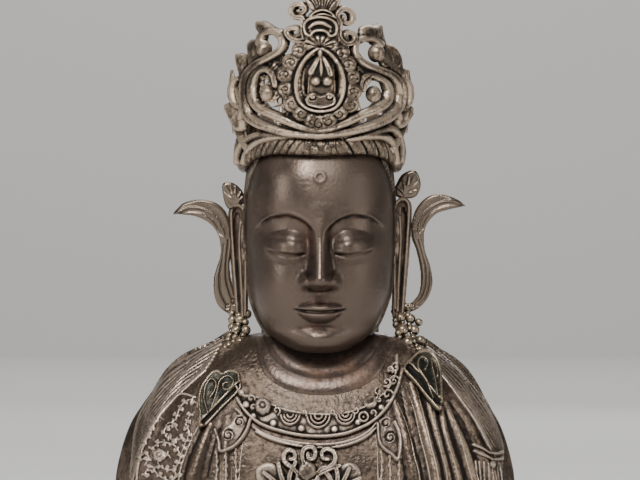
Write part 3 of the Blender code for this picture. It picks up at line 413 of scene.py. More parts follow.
class Relief:
    """A height drawn over a surface, and how far inside the drawn forms each cell of it is."""

    def __init__(self, left, right, low, high, cell=0.25, ground=0.0):
        self.left, self.low, self.cell, self.ground = left, low, cell, ground
        self.x = np.arange(left, right, cell)
        self.z = np.arange(low, high, cell)
        self.height = np.full((len(self.z), len(self.x)), float(ground))
        self.inside = np.full(self.height.shape, -9.0)

    def window(self, points, reach):
        """The cells near some points, as slices with their x and z."""
        low, high = np.min(points, axis=0) - reach, np.max(points, axis=0) + reach
        c0, c1 = np.searchsorted(self.x, (low[0], high[0]))
        r0, r1 = np.searchsorted(self.z, (low[1], high[1]))
        return (slice(r0, r1), slice(c0, c1)), self.x[c0:c1][None, :], self.z[r0:r1][:, None]

    def lay(self, place, rise, depth, mode):
        """Puts a form over the heights already there, adds it to them, or cuts it through."""
        old = self.height[place]
        if mode == "cut":
            self.inside[place] = np.minimum(self.inside[place], -depth)
        elif mode == "add":
            self.height[place] = old + rise
        else:
            self.height[place] = np.where(depth > 0, np.maximum(old, rise), old)
            self.inside[place] = np.maximum(self.inside[place], depth)

    def stroke(self, points, widths, heights, power=2.0, mode="over", foot=0.0, soft=False):
        """A line of round section at power 2 and flatter above it, or a soft swell."""
        line = spline(points, max(6, int(length(points) / 0.8)))
        at = np.linspace(0, 1, len(line))
        widths, heights = np.atleast_1d(widths), np.atleast_1d(heights)
        widths = np.interp(at, np.linspace(0, 1, len(widths)), widths) / 2
        heights = np.interp(at, np.linspace(0, 1, len(heights)), heights)
        place, x, z = self.window(line, widths.max() + 1)
        best = np.full((z.size, x.size), 9.0)
        rise, wide = np.zeros(best.shape), np.ones(best.shape)
        for a, b, w0, w1, h0, h1 in zip(line, line[1:], widths, widths[1:], heights, heights[1:]):
            d = b - a
            t = np.clip(((x - a[0]) * d[0] + (z - a[1]) * d[1]) / max(d @ d, 1e-9), 0, 1)
            across = w0 + (w1 - w0) * t + 1e-6
            away = np.hypot(x - a[0] - t * d[0], z - a[1] - t * d[1]) / across
            near = away < best
            best, rise = np.where(near, away, best), np.where(near, h0 + (h1 - h0) * t, rise)
            wide = np.where(near, across, wide)
        section = np.clip(1 - best**power, 0, 1) ** (1.7 if soft else 0.55)
        foot = 0.0 if mode == "add" else foot
        self.lay(place, foot + (rise - foot) * section, (1 - best) * wide, mode)

    def groove(self, points, widths, heights):
        """A line added to what is drawn: a groove, or a ridge where its heights are above 0."""
        self.stroke(points, widths, heights, 2.0, "add")

    def disc(self, x0, z0, radius, height, power=2.0, mode="over", hole=0.0, foot=0.0):
        """A round boss, or a ring where hole is the share of it left open."""
        place, x, z = self.window(np.array([(x0, z0)]), radius + 1)
        away = np.hypot(x - x0, z - z0) / radius
        if hole:
            away = np.abs(away - (1 + hole) / 2) / ((1 - hole) / 2)
        section = np.clip(1 - away**power, 0, 1) ** 0.55
        foot = 0.0 if mode == "add" else foot
        self.lay(place, foot + (height - foot) * section, (1 - away) * radius, mode)

    def fill(self, outline, height, edge=1.5, mode="over", foot=0.0, rough=0.0):
        """A form with this outline, rounded over the edge's width, and grainy where rough."""
        outline = np.asarray(outline, float)
        line = spline(np.vstack([outline, outline[:1]]), 6 * len(outline))[:-1]
        place, x, z = self.window(line, 1)
        apart, within = np.full((z.size, x.size), 99.0), np.zeros((z.size, x.size), bool)
        for a, b in zip(line, np.roll(line, -1, axis=0)):
            d = b - a
            t = np.clip(((x - a[0]) * d[0] + (z - a[1]) * d[1]) / max(d @ d, 1e-9), 0, 1)
            apart = np.minimum(apart, np.hypot(x - a[0] - t * d[0], z - a[1] - t * d[1]))
            crosses = (a[1] > z) != (b[1] > z)
            within ^= crosses & (x < a[0] + (z - a[1]) * d[0] / (d[1] if abs(d[1]) > 1e-9 else 1e-9))
        depth = np.where(within, apart, -apart)
        section = np.sqrt(1 - (1 - np.clip(depth / edge, 0, 1)) ** 2)
        rise = foot + (height - foot) * section
        if rough:
            spots = np.stack(np.broadcast_arrays(x, z), axis=-1)
            rise = rise + rough * section * (grain(spots, 1.1, 3) + 0.6 * grain(spots, 0.55, 4))
        self.lay(place, rise if mode != "add" else height * section, depth, mode)

    def curl(self, x0, z0, radius, turns=1.3, start=0.0, width=1.0, height=-0.9, way=1, mode="add", foot=0.0):
        """A spiral line from the rim of a curl in towards its middle."""
        t = np.linspace(0, 1, int(10 * turns) + 4)
        angle, reach = math.radians(start) + way * 2 * math.pi * turns * t, radius * (1 - 0.85 * t)
        self.stroke(np.stack([x0 + reach * np.cos(angle), z0 + reach * np.sin(angle)], axis=1),
                    (width, width, 0.7 * width), (height,), 2.0, mode, foot)

    def sampled(self, field, x, z):
        """Values of a field at some points."""
        u = np.clip((x - self.left) / self.cell, 0, len(self.x) - 1.001)
        v = np.clip((z - self.low) / self.cell, 0, len(self.z) - 1.001)
        c, r = u.astype(int), v.astype(int)
        u, v = u - c, v - r
        low = field[r, c] * (1 - u) + field[r, c + 1] * u
        return low * (1 - v) + (field[r + 1, c] * (1 - u) + field[r + 1, c + 1] * u) * v

    def at(self, x, z):
        """Heights at some points."""
        return self.sampled(self.height, x, z)

    def sunk(self, reach=1.3):
        """How far each cell lies under the mean height round it."""
        height = np.where(self.inside > 0, self.height, self.ground)
        steps = int(2.2 * reach / self.cell)
        taps = np.exp(-0.5 * (np.arange(-steps, steps + 1) * self.cell / reach) ** 2)
        taps /= taps.sum()
        mean = np.pad(height, steps, mode="edge")
        mean = sum(t * mean[k:k + height.shape[0]] for k, t in enumerate(taps))
        mean = sum(t * mean[:, k:k + height.shape[1]] for k, t in enumerate(taps))
        return mean - self.height

    def plate(self, wax, place, step=0.42, back=-2.3):
        """The drawn forms as a closed plate with its openings. place(x, z, lift) is a point of it."""
        across = np.arange(self.left + 1, self.x[-1] - 1, step)
        up = np.arange(self.low + 1, self.z[-1] - 1, step)
        x, z = np.meshgrid(across, up)
        keep = self.sampled(self.inside, x[:-1, :-1] + step / 2, z[:-1, :-1] + step / 2) > 0
        for _ in range(2):
            a, b, c, d = keep[:-1, :-1], keep[:-1, 1:], keep[1:, :-1], keep[1:, 1:]
            b |= a & d & ~b & ~c
            a |= b & c & ~a & ~d
        for _ in range(3):
            depth = self.sampled(self.inside, x, z)
            du = (self.sampled(self.inside, x + 0.2, z) - self.sampled(self.inside, x - 0.2, z)) / 0.4
            dv = (self.sampled(self.inside, x, z + 0.2) - self.sampled(self.inside, x, z - 0.2)) / 0.4
            push = np.where((depth < 0) & (depth > -1.5 * step), -0.8 * depth / (du**2 + dv**2 + 0.3), 0)
            x, z = x + push * du, z + push * dv
        front = place(x, z, self.at(x, z)).reshape(-1, 3)
        behind = place(x, z, np.full(x.shape, back)).reshape(-1, 3)
        rows, columns = x.shape
        here = np.arange(rows * columns).reshape(rows, columns)
        a, b, c, d = here[:-1, :-1], here[:-1, 1:], here[1:, 1:], here[1:, :-1]
        behind_face = np.stack([a, d, c, b], axis=-1) + rows * columns
        faces = [np.stack([a, b, c, d], axis=-1)[keep], behind_face[keep]]
        padded = np.pad(keep, 1)
        sides = ((a, b, padded[:-2, 1:-1]), (b, c, padded[1:-1, 2:]), (c, d, padded[2:, 1:-1]),
                 (d, a, padded[1:-1, :-2]))
        for first, last, beside in sides:
            edge = keep & ~beside
            f, l = first[edge], last[edge]
            faces.append(np.stack([l, f, f + rows * columns, l + rows * columns], axis=-1))
        faces = np.vstack(faces)
        marks = np.concatenate([self.sampled(self.sunk(), x, z).ravel(), np.zeros(rows * columns)])
        used, index = np.unique(faces, return_inverse=True)
        wax.add(np.vstack([front, behind])[used], [index.reshape(faces.shape)], marks[used])


class Cloth:
    """The body as a surface that ornaments are laid on."""

    def __init__(self):
        rings, _ = torso_rings(160, 80)
        wax = Wax()
        wax.grid(rings)
        faces = [face for part in wax.faces for face in part.tolist()]
        self.tree = BVHTree.FromPolygons(np.vstack(wax.points).tolist(), faces)

    def lay(self, flat, lift=0.0, ahead=True):
        """Points (x, z) put on the front or back of the surface, and its normals there."""
        placed, normals = [], []
        for x, z in flat:
            start = Vector((x, -200 if ahead else 200, z))
            hit, normal, _, _ = self.tree.ray_cast(start, Vector((0, 1 if ahead else -1, 0)))
            if hit is None:
                hit, normal, _, _ = self.tree.find_nearest(Vector((x, 0, z)))
            placed.append(hit + normal * lift)
            normals.append(normal)
        return np.array(placed), np.array(normals)


# Lines of the chest and shoulders in the view from ahead: x across and height over the floor
BROAD_FOLDS = (
    (((37.2, 80), (41.4, 66), (44.4, 52), (46.6, 40), (49.6, 2)), 9.0, 2.0),
    (((45.6, 88), (50.2, 72), (54.2, 58), (57.6, 42), (62.6, 2)), 9.5, 2.8),
    (((53.2, 88), (55.6, 74), (59.4, 60), (62.8, 46), (66, 30), (70.2, 2)), 7.5, 1.8),
    (((60.8, 76), (62.4, 64), (65.6, 52), (68.6, 40), (72.6, 20), (75.8, 2)), 8.5, 2.6),
    (((62.6, 78), (68.6, 65), (72.8, 54), (75.6, 43), (80.4, 24), (84.8, 2)), 8.0, 2.2),
    (((66.8, 79), (73.4, 70), (77.2, 61.9), (79.8, 55.6), (85.8, 40), (90.8, 14)), 7.0, 1.6),
    (((-54.8, 68), (-58, 60), (-61, 51), (-63.5, 42), (-64.8, 30), (-65.2, 2)), 11.0, 2.6),
    (((-46.4, 72), (-46.8, 60), (-47.6, 50), (-48.4, 40), (-49.4, 2)), 7.4, 1.4),
    (((-70, 92), (-79, 79), (-86, 62), (-89.6, 44), (-90.4, 10)), 12.0, 1.4),
)
CREASES = (
    (((40.4, 84), (43.6, 68), (48.6, 52), (51.4, 40), (55.4, 2)), 1.6),
    (((50, 90), (53, 74), (57.4, 58), (60.6, 44), (66.2, 2)), 1.5),
    (((57.6, 84), (59.2, 70), (62.2, 56), (65.8, 42), (71.8, 2)), 1.5),
    (((62, 74), (66.6, 60), (70.4, 48), (73.4, 36), (80, 2)), 1.4),
    (((66, 74), (73, 60), (77, 48), (82, 28), (87, 6)), 1.3),
    (((-56.8, 70), (-60, 62), (-64.4, 53), (-67, 44), (-68.2, 30), (-68.6, 2)), 1.6),
    (((-50.2, 66), (-52.2, 58), (-55.4, 46), (-57.4, 34), (-58, 2)), 1.5),
)
PALE_LINES = (
    (((38.4, 79), (44, 66), (47, 52), (49.6, 40), (52.6, 2)), 1.1, 0.7),
    (((42.4, 88), (46.6, 76), (49.8, 62), (53.2, 48), (57, 24), (59, 2)), 1.0, 0.6),
    (((47.4, 90), (51, 74), (54.6, 58), (58.4, 40), (62, 2)), 1.2, 0.8),
    (((56, 84), (57.6, 66), (60, 54), (63, 40), (66, 2)), 1.0, 0.6),
    (((60, 80), (62.4, 62), (67, 46), (70, 30), (74, 2)), 1.1, 0.7),
    (((64.6, 76), (69.4, 62), (73, 48), (76.4, 34), (81, 6)), 1.0, 0.6),
    (((-59.2, 70), (-63, 62.5), (-66.8, 53.5), (-69.7, 44), (-70.8, 30), (-71.2, 2)), 1.3, 1.3),
    (((-61.4, 70), (-65.2, 62.5), (-68.9, 53.5), (-71.9, 44), (-73.2, 30), (-73.6, 2)), 1.1, 1.0),
    (((-34.8, 70), (-37.5, 63), (-39.2, 54), (-40.2, 40), (-40.2, 2)), 1.2, 1.0),
    (((-44.6, 56), (-44.4, 50), (-44, 40), (-43.8, 2)), 1.0, 0.8),
    (((-49.4, 54), (-49.2, 46), (-49.2, 2)), 1.0, 0.8),
    (((27.2, 65.5), (28.5, 56), (28.8, 40), (28.8, 2)), 1.2, 1.0),
    (((32.4, 54), (32.4, 40), (32.4, 2)), 1.0, 0.8),
    (((37.2, 50), (37, 40), (37, 2)), 1.0, 0.8),
)
LEFT_HAIR = (((-45.8, 113), (-54.2, 108.4), (-64.2, 103.6), (-73.2, 97.4), (-80.6, 89), (-86.8, 78.6),
              (-90.6, 70), (-93.6, 60)),
             ((-57.2, 94), (-64.8, 87.6), (-72.8, 80), (-82.2, 67.6), (-88.2, 55), (-90.8, 46), (-92.8, 40),
              (-94.6, 32)))
RIGHT_HAIR = (((52, 109.6), (60.4, 103.6), (68.6, 97.2), (75.4, 89), (80.6, 81.6), (85.2, 73.4), (89.2, 65),
               (91.6, 55)),
              ((60.4, 92.5), (66.2, 85.5), (71.8, 77.4), (77.2, 69.4), (82.4, 61), (86.6, 53), (89.4, 46),
               (91, 38)))
SLEEVE_EDGE = ((-62, 81), (-70, 82.5), (-77, 76), (-84, 64), (-88.5, 52), (-90.6, 40), (-91.4, 22),
               (-91.4, 4))
VINES = (
    ((-60.2, 77), (-64.8, 79.8), (-69.8, 76), (-72, 70), (-76.2, 67.8)),
    ((-67.8, 61.5), (-71.2, 60), (-76.8, 61.5), (-77.2, 65.5), (-73.2, 67), (-70.8, 64.5)),
    ((-84.2, 55), (-79.2, 58.8), (-72.2, 57), (-69.5, 51), (-73.2, 45.5), (-79.2, 46.5), (-81, 51.5),
     (-77.2, 54), (-74.2, 51)),
    ((-87.2, 42), (-84.2, 47), (-80.8, 43), (-75.2, 40), (-71.2, 42), (-69.2, 46)),
    ((-88.2, 58), (-83.8, 62.5), (-84.8, 67), (-81.2, 71), (-78.2, 70)),
    ((-64.2, 73), (-66.8, 68), (-65.2, 64), (-67.2, 58), (-68.8, 54)),
    ((-90.2, 50), (-87.2, 53), (-84.8, 51), (-86.8, 47)),
    ((-83.2, 37), (-78.2, 34), (-74.2, 37), (-74.2, 31), (-77.2, 27), (-82.2, 30), (-80.2, 34)),
    ((-87.2, 34), (-84.2, 28), (-87.2, 22), (-83.2, 16), (-78.2, 19), (-75.2, 15), (-77.2, 9)),
)
CUFFS = (((76.2, 57.5), (80, 55.2), (84, 53.4), (88, 52.8), (91, 53.4)),
         ((76.8, 54.5), (80.4, 52.2), (84.4, 50.4), (88, 49.9), (91, 50.4)))
BACK_FOLDS = (
    ((-62, 70), (-36, 32), (-6, -5), 9.0, 4.0),
    ((-40, 88), (-20, 48), (14, -5), 9.0, 4.0),
    ((-10, 92), (14, 54), (42, -5), 9.0, 4.0),
    ((20, 90), (42, 52), (66, -5), 9.0, 4.0),
)


def between(first, last, share):
    """The line that lies this share of the way from one line to another."""
    first, last = spline(first, 24), spline(last, 24)
    return first + (last - first) * share


def sprig(relief, line, every=3.4, size=2.5):
    """A tendril with a pair of small leaves at each step along it."""
    relief.stroke(line, (0.8, 1.1, 1.0, 0.8), (1.2,), 2.0)
    path = spline(line, max(3, int(length(line) / every) + 1))
    for k, (a, b) in enumerate(zip(path, path[1:])):
        along = (b - a) / np.linalg.norm(b - a)
        side = 1 if k % 2 else -1
        for turn, share in ((52 * side, 1.0), (-70 * side, 0.62)):
            angle = math.radians(turn)
            out = np.array((along[0] * math.cos(angle) - along[1] * math.sin(angle),
                            along[0] * math.sin(angle) + along[1] * math.cos(angle)))
            for lobe, reach, radius in ((0, 0.75, 0.95), (0.55, 0.5, 0.7), (-0.55, 0.5, 0.7), (0, 0.3, 0.6)):
                spot = a + share * size * (reach * out + lobe * reach * np.array((-out[1], out[0])))
                relief.disc(*spot, radius * share, 1.25)
            relief.groove((a, a + 0.8 * share * size * out), (0.5, 0.4), (-0.4,))


def robe_front():
    """The broad folds over the front of the robe."""
    relief = Relief(-104, 104, -8, 118)
    for line, width, height in BROAD_FOLDS:
        relief.stroke(line, (0.5 * width, width, 1.1 * width), (0.4 * height, height, height), 2.0, soft=True)
    for line, width in CREASES:
        relief.stroke(line, (0.6 * width, width, width), (-0.7,), 2.0, "add", soft=True)
    relief.inside[:] = 1
    return relief


def draw_robe():
    """The hair on the shoulders, the borders and the sleeve's vine and cuff, in fine lines over the folds."""
    relief = Relief(-100, 98, 0, 116, 0.2, -0.2)
    for line, width, height in PALE_LINES:
        relief.stroke(line, (0.5 * width, width, width), (0.3 * height, height, height), 2.0, foot=-0.2)
    for family, strands in ((LEFT_HAIR, 11), (RIGHT_HAIR, 10)):
        for strand in range(strands):
            line = between(*family, strand / (strands - 1))
            line = line + 0.35 * np.sin(0.25 * line[:, ::-1] + strand)
            relief.stroke(line, (1.1, 1.3, 1.2), (1.1, 1.2, 0.9), 2.0, foot=-0.2)
    relief.stroke(SLEEVE_EDGE, (1.3,), (1.1,), 2.0, foot=-0.2)
    for line in VINES:
        sprig(relief, line)
    for x, z, radius in ((-80, 52.4, 3.6), (-76, 30.4, 3.2), (-79.6, 12, 3.4)):
        relief.disc(x, z, radius, 1.1, 3.0)
        for k in range(6):
            angle = 2 * math.pi * k / 6 + x
            relief.disc(x + 0.62 * radius * math.cos(angle), z + 0.62 * radius * math.sin(angle),
                        0.38 * radius, 0.7, mode="add")
        relief.disc(x, z, 0.3 * radius, 1.0, mode="add")
    for line in CUFFS:
        relief.stroke(line, (1.6,), (1.8,), 2.0, foot=-0.4)
    relief.disc(85.8, 47.6, 2.3, 1.8)
    relief.disc(85.8, 47.6, 1.2, 0.6, mode="add")
    for k in range(8):
        foot = 77.6 + 1.8 * k
        relief.stroke(((foot, 49.5 - 0.4 * k), (foot + 0.8, 40), (foot + 1.6, 26 - k)), (1.1, 1.4, 0.8),
                      (0.75,), 2.0)
    for x, top in ((-51.4, 54), (-46.6, 56), (-41.8, 58), (30.6, 54), (34.8, 52), (39.4, 52)):
        for k in range(int((top - 3) / 4.4)):
            z = top - 4.4 * k
            sway = 0.35 * math.sin(1.7 * k + x)
            relief.stroke(((x + sway, z + 1.7), (x + sway, z), (x - sway, z - 1.5)), (1.2, 2.5, 1.0),
                          (0.9, 1.9, 0.7))
            relief.disc(x, z - 2.2, 0.8, 1.3)
    return relief


def robe_back():
    """The broad folds over the back of the robe."""
    relief = Relief(-104, 104, -8, 118)
    for top, middle, foot, width, depth in BACK_FOLDS:
        relief.stroke((top, middle, foot), (0.9 * width, 2.0 * width, 2.1 * width),
                      (0.4, 0.85 * depth, 0.85 * depth), 2, soft=True)
    for line in (((-76, 84), (-66, 50), (-50, 0)), ((-88, 60), (-84, 30), (-78, 0)),
                 ((62, 88), (76, 50), (84, 0))):
        relief.stroke(line, (6, 11, 12), (0.5, 2.0, 2.2), 2, soft=True)
    relief.inside[:] = 1
    return relief


def robe_sides():
    """The folds that hang down the sides, drawn over depth and height."""
    relief = Relief(-60, 60, -8, 118)
    for line in (((-14, 98), (-22, 60), (-28, 0)), ((0, 104), (-8, 60), (-13, 0)),
                 ((12, 100), (9, 60), (4, 0)), ((24, 92), (25, 50), (20, 0))):
        relief.stroke(line, (5, 12, 13), (0.4, 1.9, 2.0), 2, soft=True)
    relief.inside[:] = 1
    return relief


def draw_back_hair():
    """The strands that spread from the nape over both shoulders, seen from behind."""
    relief = Relief(-98, 98, 30, 116, 0.2, -0.2)
    for side in (-1, 1):
        first = [(side * x, z) for x, z in ((12, 111), (34, 111), (53, 107.6), (68, 99), (79, 87), (86.5, 72),
                                            (90, 58))]
        last = [(side * x, z) for x, z in ((14, 93), (34, 93.6), (51, 89), (65, 79.5), (76, 67), (84, 54),
                                           (88, 43))]
        for strand in range(12):
            line = between(first, last, strand / 11)
            line = line + 0.35 * np.sin(0.25 * line[:, ::-1] + strand)
            relief.stroke(line, (1.3, 1.5, 1.3), (1.1, 1.15, 0.9), 2.0, foot=-0.2)
    return relief


def make_robe():
    """The draped body. Its front relief is returned, for what lies on it."""
    wax = Wax()
    rings, angle = torso_rings(400, 200)
    ahead = np.cos(angle) > 0
    row = np.gradient(rings, axis=0)
    column = (np.roll(rings, -1, 1) - np.roll(rings, 1, 1))
    normal = np.cross(column, row)
    normal /= np.linalg.norm(normal, axis=2, keepdims=True) + 1e-9
    front, back, sides = robe_front(), robe_back(), robe_sides()
    x, y, z = rings[..., 0], rings[..., 1], rings[..., 2]
    edge = fade(0.0, 0.3, np.abs(np.cos(angle)))
    rise = np.where(ahead, front.at(x, z), back.at(x, z)) * edge
    rise = rise + sides.at(y, z) * (1 - fade(0.15, 0.55, np.abs(np.cos(angle))))
    front_marks, back_marks = front.sampled(front.sunk(), x, z), back.sampled(back.sunk(), x, z)
    marks = np.where(ahead, front_marks, back_marks) * edge + 1e-6
    normal[..., 2] *= fade(0, 3, z)
    wax.grid(rings + normal * rise[..., None], marks=marks)
    wax.cast("robe", "robe_bronze", "figure")
    return front, back


def make_robe_lines(cloth, front, back):
    wax = Wax()
    relief = draw_robe()
    relief.plate(wax, on_cloth(cloth, relief, front), 0.44, -0.9)
    relief = draw_back_hair()
    relief.plate(wax, on_cloth(cloth, relief, back, False), 0.58, -0.9)
    return wax.cast("robe_lines", "line_bronze", "figure")


NECK_ROLLS = (
    (((-33, 113), (-31.5, 99), (-25.5, 89.4), (-13.5, 83.4), (0, 81.6), (14.5, 83.4), (27, 89.4), (34, 99),
      (35, 113)),
     1.7, 6.5),
    (((-29, 113), (-27, 103), (-20, 94.6), (-10, 90), (0.5, 88.6), (11.5, 90), (22, 95), (29, 103),
      (31, 113)), 3.4, 6.0),
)


def make_neck_front(cloth, front):
    """The two soft rolls of the throat, where the neck comes out of the chest."""
    wax = Wax()
    relief = Relief(-38, 40, 78, 116, 0.25, -1.4)
    for outline, height, edge in NECK_ROLLS:
        relief.fill(outline, height, edge, foot=-1.4)
    relief.plate(wax, on_cloth(cloth, relief, front), 0.6, -1.6)
    return wax.cast("neck_front", "neck_bronze", "figure")


COLLAR_TOP = ((-42.2, 87), (-38.8, 82), (-31.2, 80.8), (-23.2, 77), (-13.2, 73.8), (-1.2, 72.6), (10.8, 73),
              (19.8, 75.2), (26.8, 79), (33.8, 85), (37.8, 93), (38.2, 101))
COLLAR_LOW = ((-41.2, 80), (-37.2, 74), (-31.2, 68.8), (-23.2, 65.4), (-11.2, 62.6), (0.8, 61.8), (11.8, 63),
              (19.8, 65.8), (26.8, 69.5), (33.2, 76), (38.2, 85), (40.8, 94))
CORDS = (((-33.2, 66.4), (-27.2, 62.8), (-17.2, 59.8), (-4.2, 58), (6.8, 58.2), (16.8, 60.4), (23.8, 64),
          (28.2, 68.5)),
         ((-31.8, 64), (-25.2, 60.8), (-15.2, 58), (-3.2, 56.4), (7.8, 56.7), (16.8, 58.8), (23.8, 62.2),
          (28, 66)))
LEFT_TAB = ((-38.8, 74.5), (-35.2, 70), (-37.2, 64), (-41.2, 58), (-46.2, 54.5), (-49.2, 53.8), (-50, 59),
            (-49.2, 64), (-45.2, 68), (-42.2, 72))
RIGHT_TAB = ((28.2, 70), (33.8, 72.2), (37.8, 67), (39.8, 60), (39.6, 54), (38, 50), (34.8, 53), (30.2, 57),
             (28.5, 64))
BIRD_WINGS = (((-32, 41), (-32.2, 46), (-29.2, 48.8), (-24.2, 49.6), (-19.2, 47), (-15.8, 42), (-13.8, 36),
               (-17.2, 32), (-26.2, 32)),
              ((9.2, 39), (9.2, 46.4), (12.8, 49.6), (17.8, 48.8), (20.5, 45), (20.8, 40), (18.8, 34),
               (12.8, 31), (5.8, 33)))
BIRD_BODY = ((-9.2, 50), (-6.2, 51), (-2.2, 48), (0.8, 41), (-0.2, 35), (-4.2, 28), (-9.2, 28), (-13.2, 35),
             (-13.2, 42), (-11.2, 47))
BIRD_CURLS = (((-7.8, 48), (-8.8, 52), (-7.8, 55.5), (-4.2, 56.5), (-2.2, 54), (-3.2, 51), (-5.8, 51),
               (-6, 53.5)),
              ((-9.2, 41), (-13.2, 46), (-17.2, 49), (-18, 52.5), (-15.8, 55), (-12.8, 54), (-12.5, 51),
               (-14.8, 50.5)),
              ((-3.2, 41), (0.8, 46), (4.2, 46.5), (7.2, 49.5), (7.2, 53.5), (4.2, 55.5), (1.2, 54.5),
               (1.2, 51.5), (4.2, 50.5)),
              ((-1.2, 43), (3.8, 45.5), (9.8, 47.5)))


def draw_necklace():
    """The collar with its flowers and beads, the double cord, the side tabs and the bird under it."""
    relief = Relief(-56, 46, 18, 106, 0.2)
    collar = (*COLLAR_TOP, *reversed(COLLAR_LOW))
    relief.fill(collar, 1.0, 1.6)
    relief.stroke(COLLAR_LOW, (2.3,), (3.2,), 2.2)
    relief.stroke(COLLAR_TOP, (1.6, 1.3, 1.3, 2.2), (2.4, 2.2, 2.2, 2.8), 2.2)
    for line in CORDS:
        relief.stroke(line, (1.7, 2.0, 1.7), (2.8,), 2.2)
    flower(relief, -28.4, 76.4, 4.7)
    for x, z, radius in ((-14.8, 71, 4.6), (-0.8, 70.6, 5.6), (12.6, 71.2, 4.6)):
        for share, height in ((1.0, 3.0), (0.68, 3.3), (0.34, 3.6)):
            half = [(x + share * radius * math.cos(a), z + 1.2 - share * radius * math.sin(a))
                    for a in np.linspace(0.05, math.pi - 0.05, 9)]
            relief.stroke(half, (1.2,), (height,), 2.2)
    for x, z, radius in ((-36.8, 77, 2.2), (-23.2, 68.2, 2.1), (-9.3, 65.6, 2.1), (7.2, 65.2, 2.1),
                         (19, 68.6, 1.9), (-33, 71.6, 1.6), (-39, 83, 1.8), (30.4, 75.8, 1.8)):
        relief.disc(x, z, radius, 3.6)
        relief.disc(x, z, radius * 0.55, -0.7, mode="add")
    for x, z, radius in ((-21.6, 74.2, 2.1), (-7.8, 73.2, 1.5), (6, 73.2, 1.5), (17.8, 74.4, 1.8),
                         (-34.2, 80, 1.9), (29, 83.4, 2.0), (29.4, 79.6, 1.7), (-33.2, 75.6, 1.5),
                         (26.2, 73, 1.8)):
        relief.curl(x, z, radius, 1.1, 53 * x, 1.1, 3.0, 1, "over", 0.6)
    relief.disc(21.6, 71, 3.0, 3.6, hole=0.45)
    relief.disc(21.6, 71, 1.1, 3.0)
    relief.disc(25.2, 78.4, 4.0, 3.8)
    relief.disc(24.4, 79.6, 2.6, -1.6, mode="add")
    for x, z, radius in ((33.6, 82, 3.2), (36.6, 88.6, 2.6), (33, 88, 2.2), (37.6, 95, 2.4), (34.8, 94, 1.8)):
        relief.curl(x, z, radius, 1.3, 40 * x, 1.3, 3.0, 1, "over", 0.6)
    for tab, rings, cord in (
            (LEFT_TAB, ((-39.8, 68.5, 2.8), (-45.2, 62, 3.5)),
             ((-52, 65), (-50, 59), (-49.4, 54.6), (-45.6, 55.2), (-40.6, 58.6), (-36.6, 64), (-34.4, 70))),
            (RIGHT_TAB, ((32.8, 68, 2.6), (34.8, 61, 3.5)),
             ((28.6, 68), (29.2, 60), (31.6, 56), (35.6, 53), (38.4, 50.6), (39.6, 56), (39.2, 63),
              (37, 68.6)))):
        relief.fill(tab, 2.4, 1.6)
        relief.stroke(cord, (1.6, 2.0, 2.4, 2.0), (3.8,), 2.2)
        for x, z, radius in rings:
            relief.disc(x, z, radius, 3.6, 2.6)
            relief.curl(x, z, radius * 0.8, 1.4, 60, 0.9, -1.1)
            relief.disc(x, z, 0.9, 0.7, mode="add")
    relief.stroke(((-42, 75), (-40, 73.4), (-38.6, 71.6), (-41.4, 71.2)), (1.6, 2.2, 1.4), (3.2,))
    for wing, side in zip(BIRD_WINGS, (-1, 1)):
        relief.fill(wing, 2.0, 2.6)
        root = (-15.5, 33) if side < 0 else (7.5, 33)
        for k in range(5):
            angle = math.radians(48 + 30 * k if side < 0 else 118 - 28 * k)
            reach = 16.5 if side < 0 else 15
            tip = (root[0] + reach * math.cos(angle), root[1] + reach * math.sin(angle))
            bend = ((root[0] + tip[0]) / 2 + 1.2 * side, (root[1] + tip[1]) / 2 + 1.6)
            relief.stroke((root, bend, tip), (1.4, 3.4, 3.0), (2.6, 4.0, 3.6), 2.4)
            relief.groove((root, bend, tip), (0.5, 0.9, 0.5), (-0.9,))
    relief.fill(BIRD_BODY, 3.8, 2.8)
    for k in range(4):
        relief.groove(((-11 + k, 42 - 3.2 * k), (-6.5 + 0.6 * k, 40 - 3.4 * k), (-2.2, 42.4 - 3.2 * k)),
                      (0.9,), (-0.9,))
    for line in BIRD_CURLS:
        relief.stroke(line, (2.4, 3.4, 3.0, 2.4), (3.6, 4.4, 4.2, 3.4), 2.2)
        relief.groove(line, (0.8,), (-0.9,))
    return relief


def flower(relief, x, z, radius):
    """A round flower with eight petals."""
    relief.disc(x, z, radius, 3.0, 3.0)
    for k in range(8):
        angle = 2 * math.pi * k / 8
        relief.disc(x + 0.62 * radius * math.cos(angle), z + 0.62 * radius * math.sin(angle), 0.36 * radius,
                    0.9, mode="add")
    relief.disc(x, z, 0.28 * radius, 1.3, mode="add")


def on_cloth(cloth, relief, under=None, ahead=True):
    """A place function that lays a drawn relief on the body and its folds. Behind, x is mirrored."""
    xs, zs = np.arange(relief.left, relief.x[-1] + 1, 1.0), np.arange(relief.low, relief.z[-1] + 1, 1.0)
    way = 1 if ahead else -1
    flat = [(way * x, z) for z in zs for x in xs]
    placed, normals = cloth.lay(flat, 0.0, ahead)
    shape = (len(zs), len(xs))
    fields = [placed[:, 1].reshape(shape), *(normals[:, k].reshape(shape) for k in range(3))]

    def place(x, z, lift):
        u = np.clip(x - relief.left, 0, len(xs) - 1.001)
        v = np.clip(z - relief.low, 0, len(zs) - 1.001)
        c, r = u.astype(int), v.astype(int)
        u, v = u - c, v - r
        y, nx, ny, nz = ((f[r, c] * (1 - u) + f[r, c + 1] * u) * (1 - v)
                         + (f[r + 1, c] * (1 - u) + f[r + 1, c + 1] * u) * v for f in fields)
        size = np.sqrt(nx**2 + ny**2 + nz**2)
        if under is not None:
            lift = lift + under.at(way * x, z)
        return np.stack([way * x + lift * nx / size, y + lift * ny / size, z + lift * nz / size], axis=-1)

    return place


def make_necklace(cloth, front):
    wax = Wax()
    relief = draw_necklace()
    relief.plate(wax, on_cloth(cloth, relief, front), 0.4, -0.6)
    return wax.cast("necklace", "line_bronze", "figure")


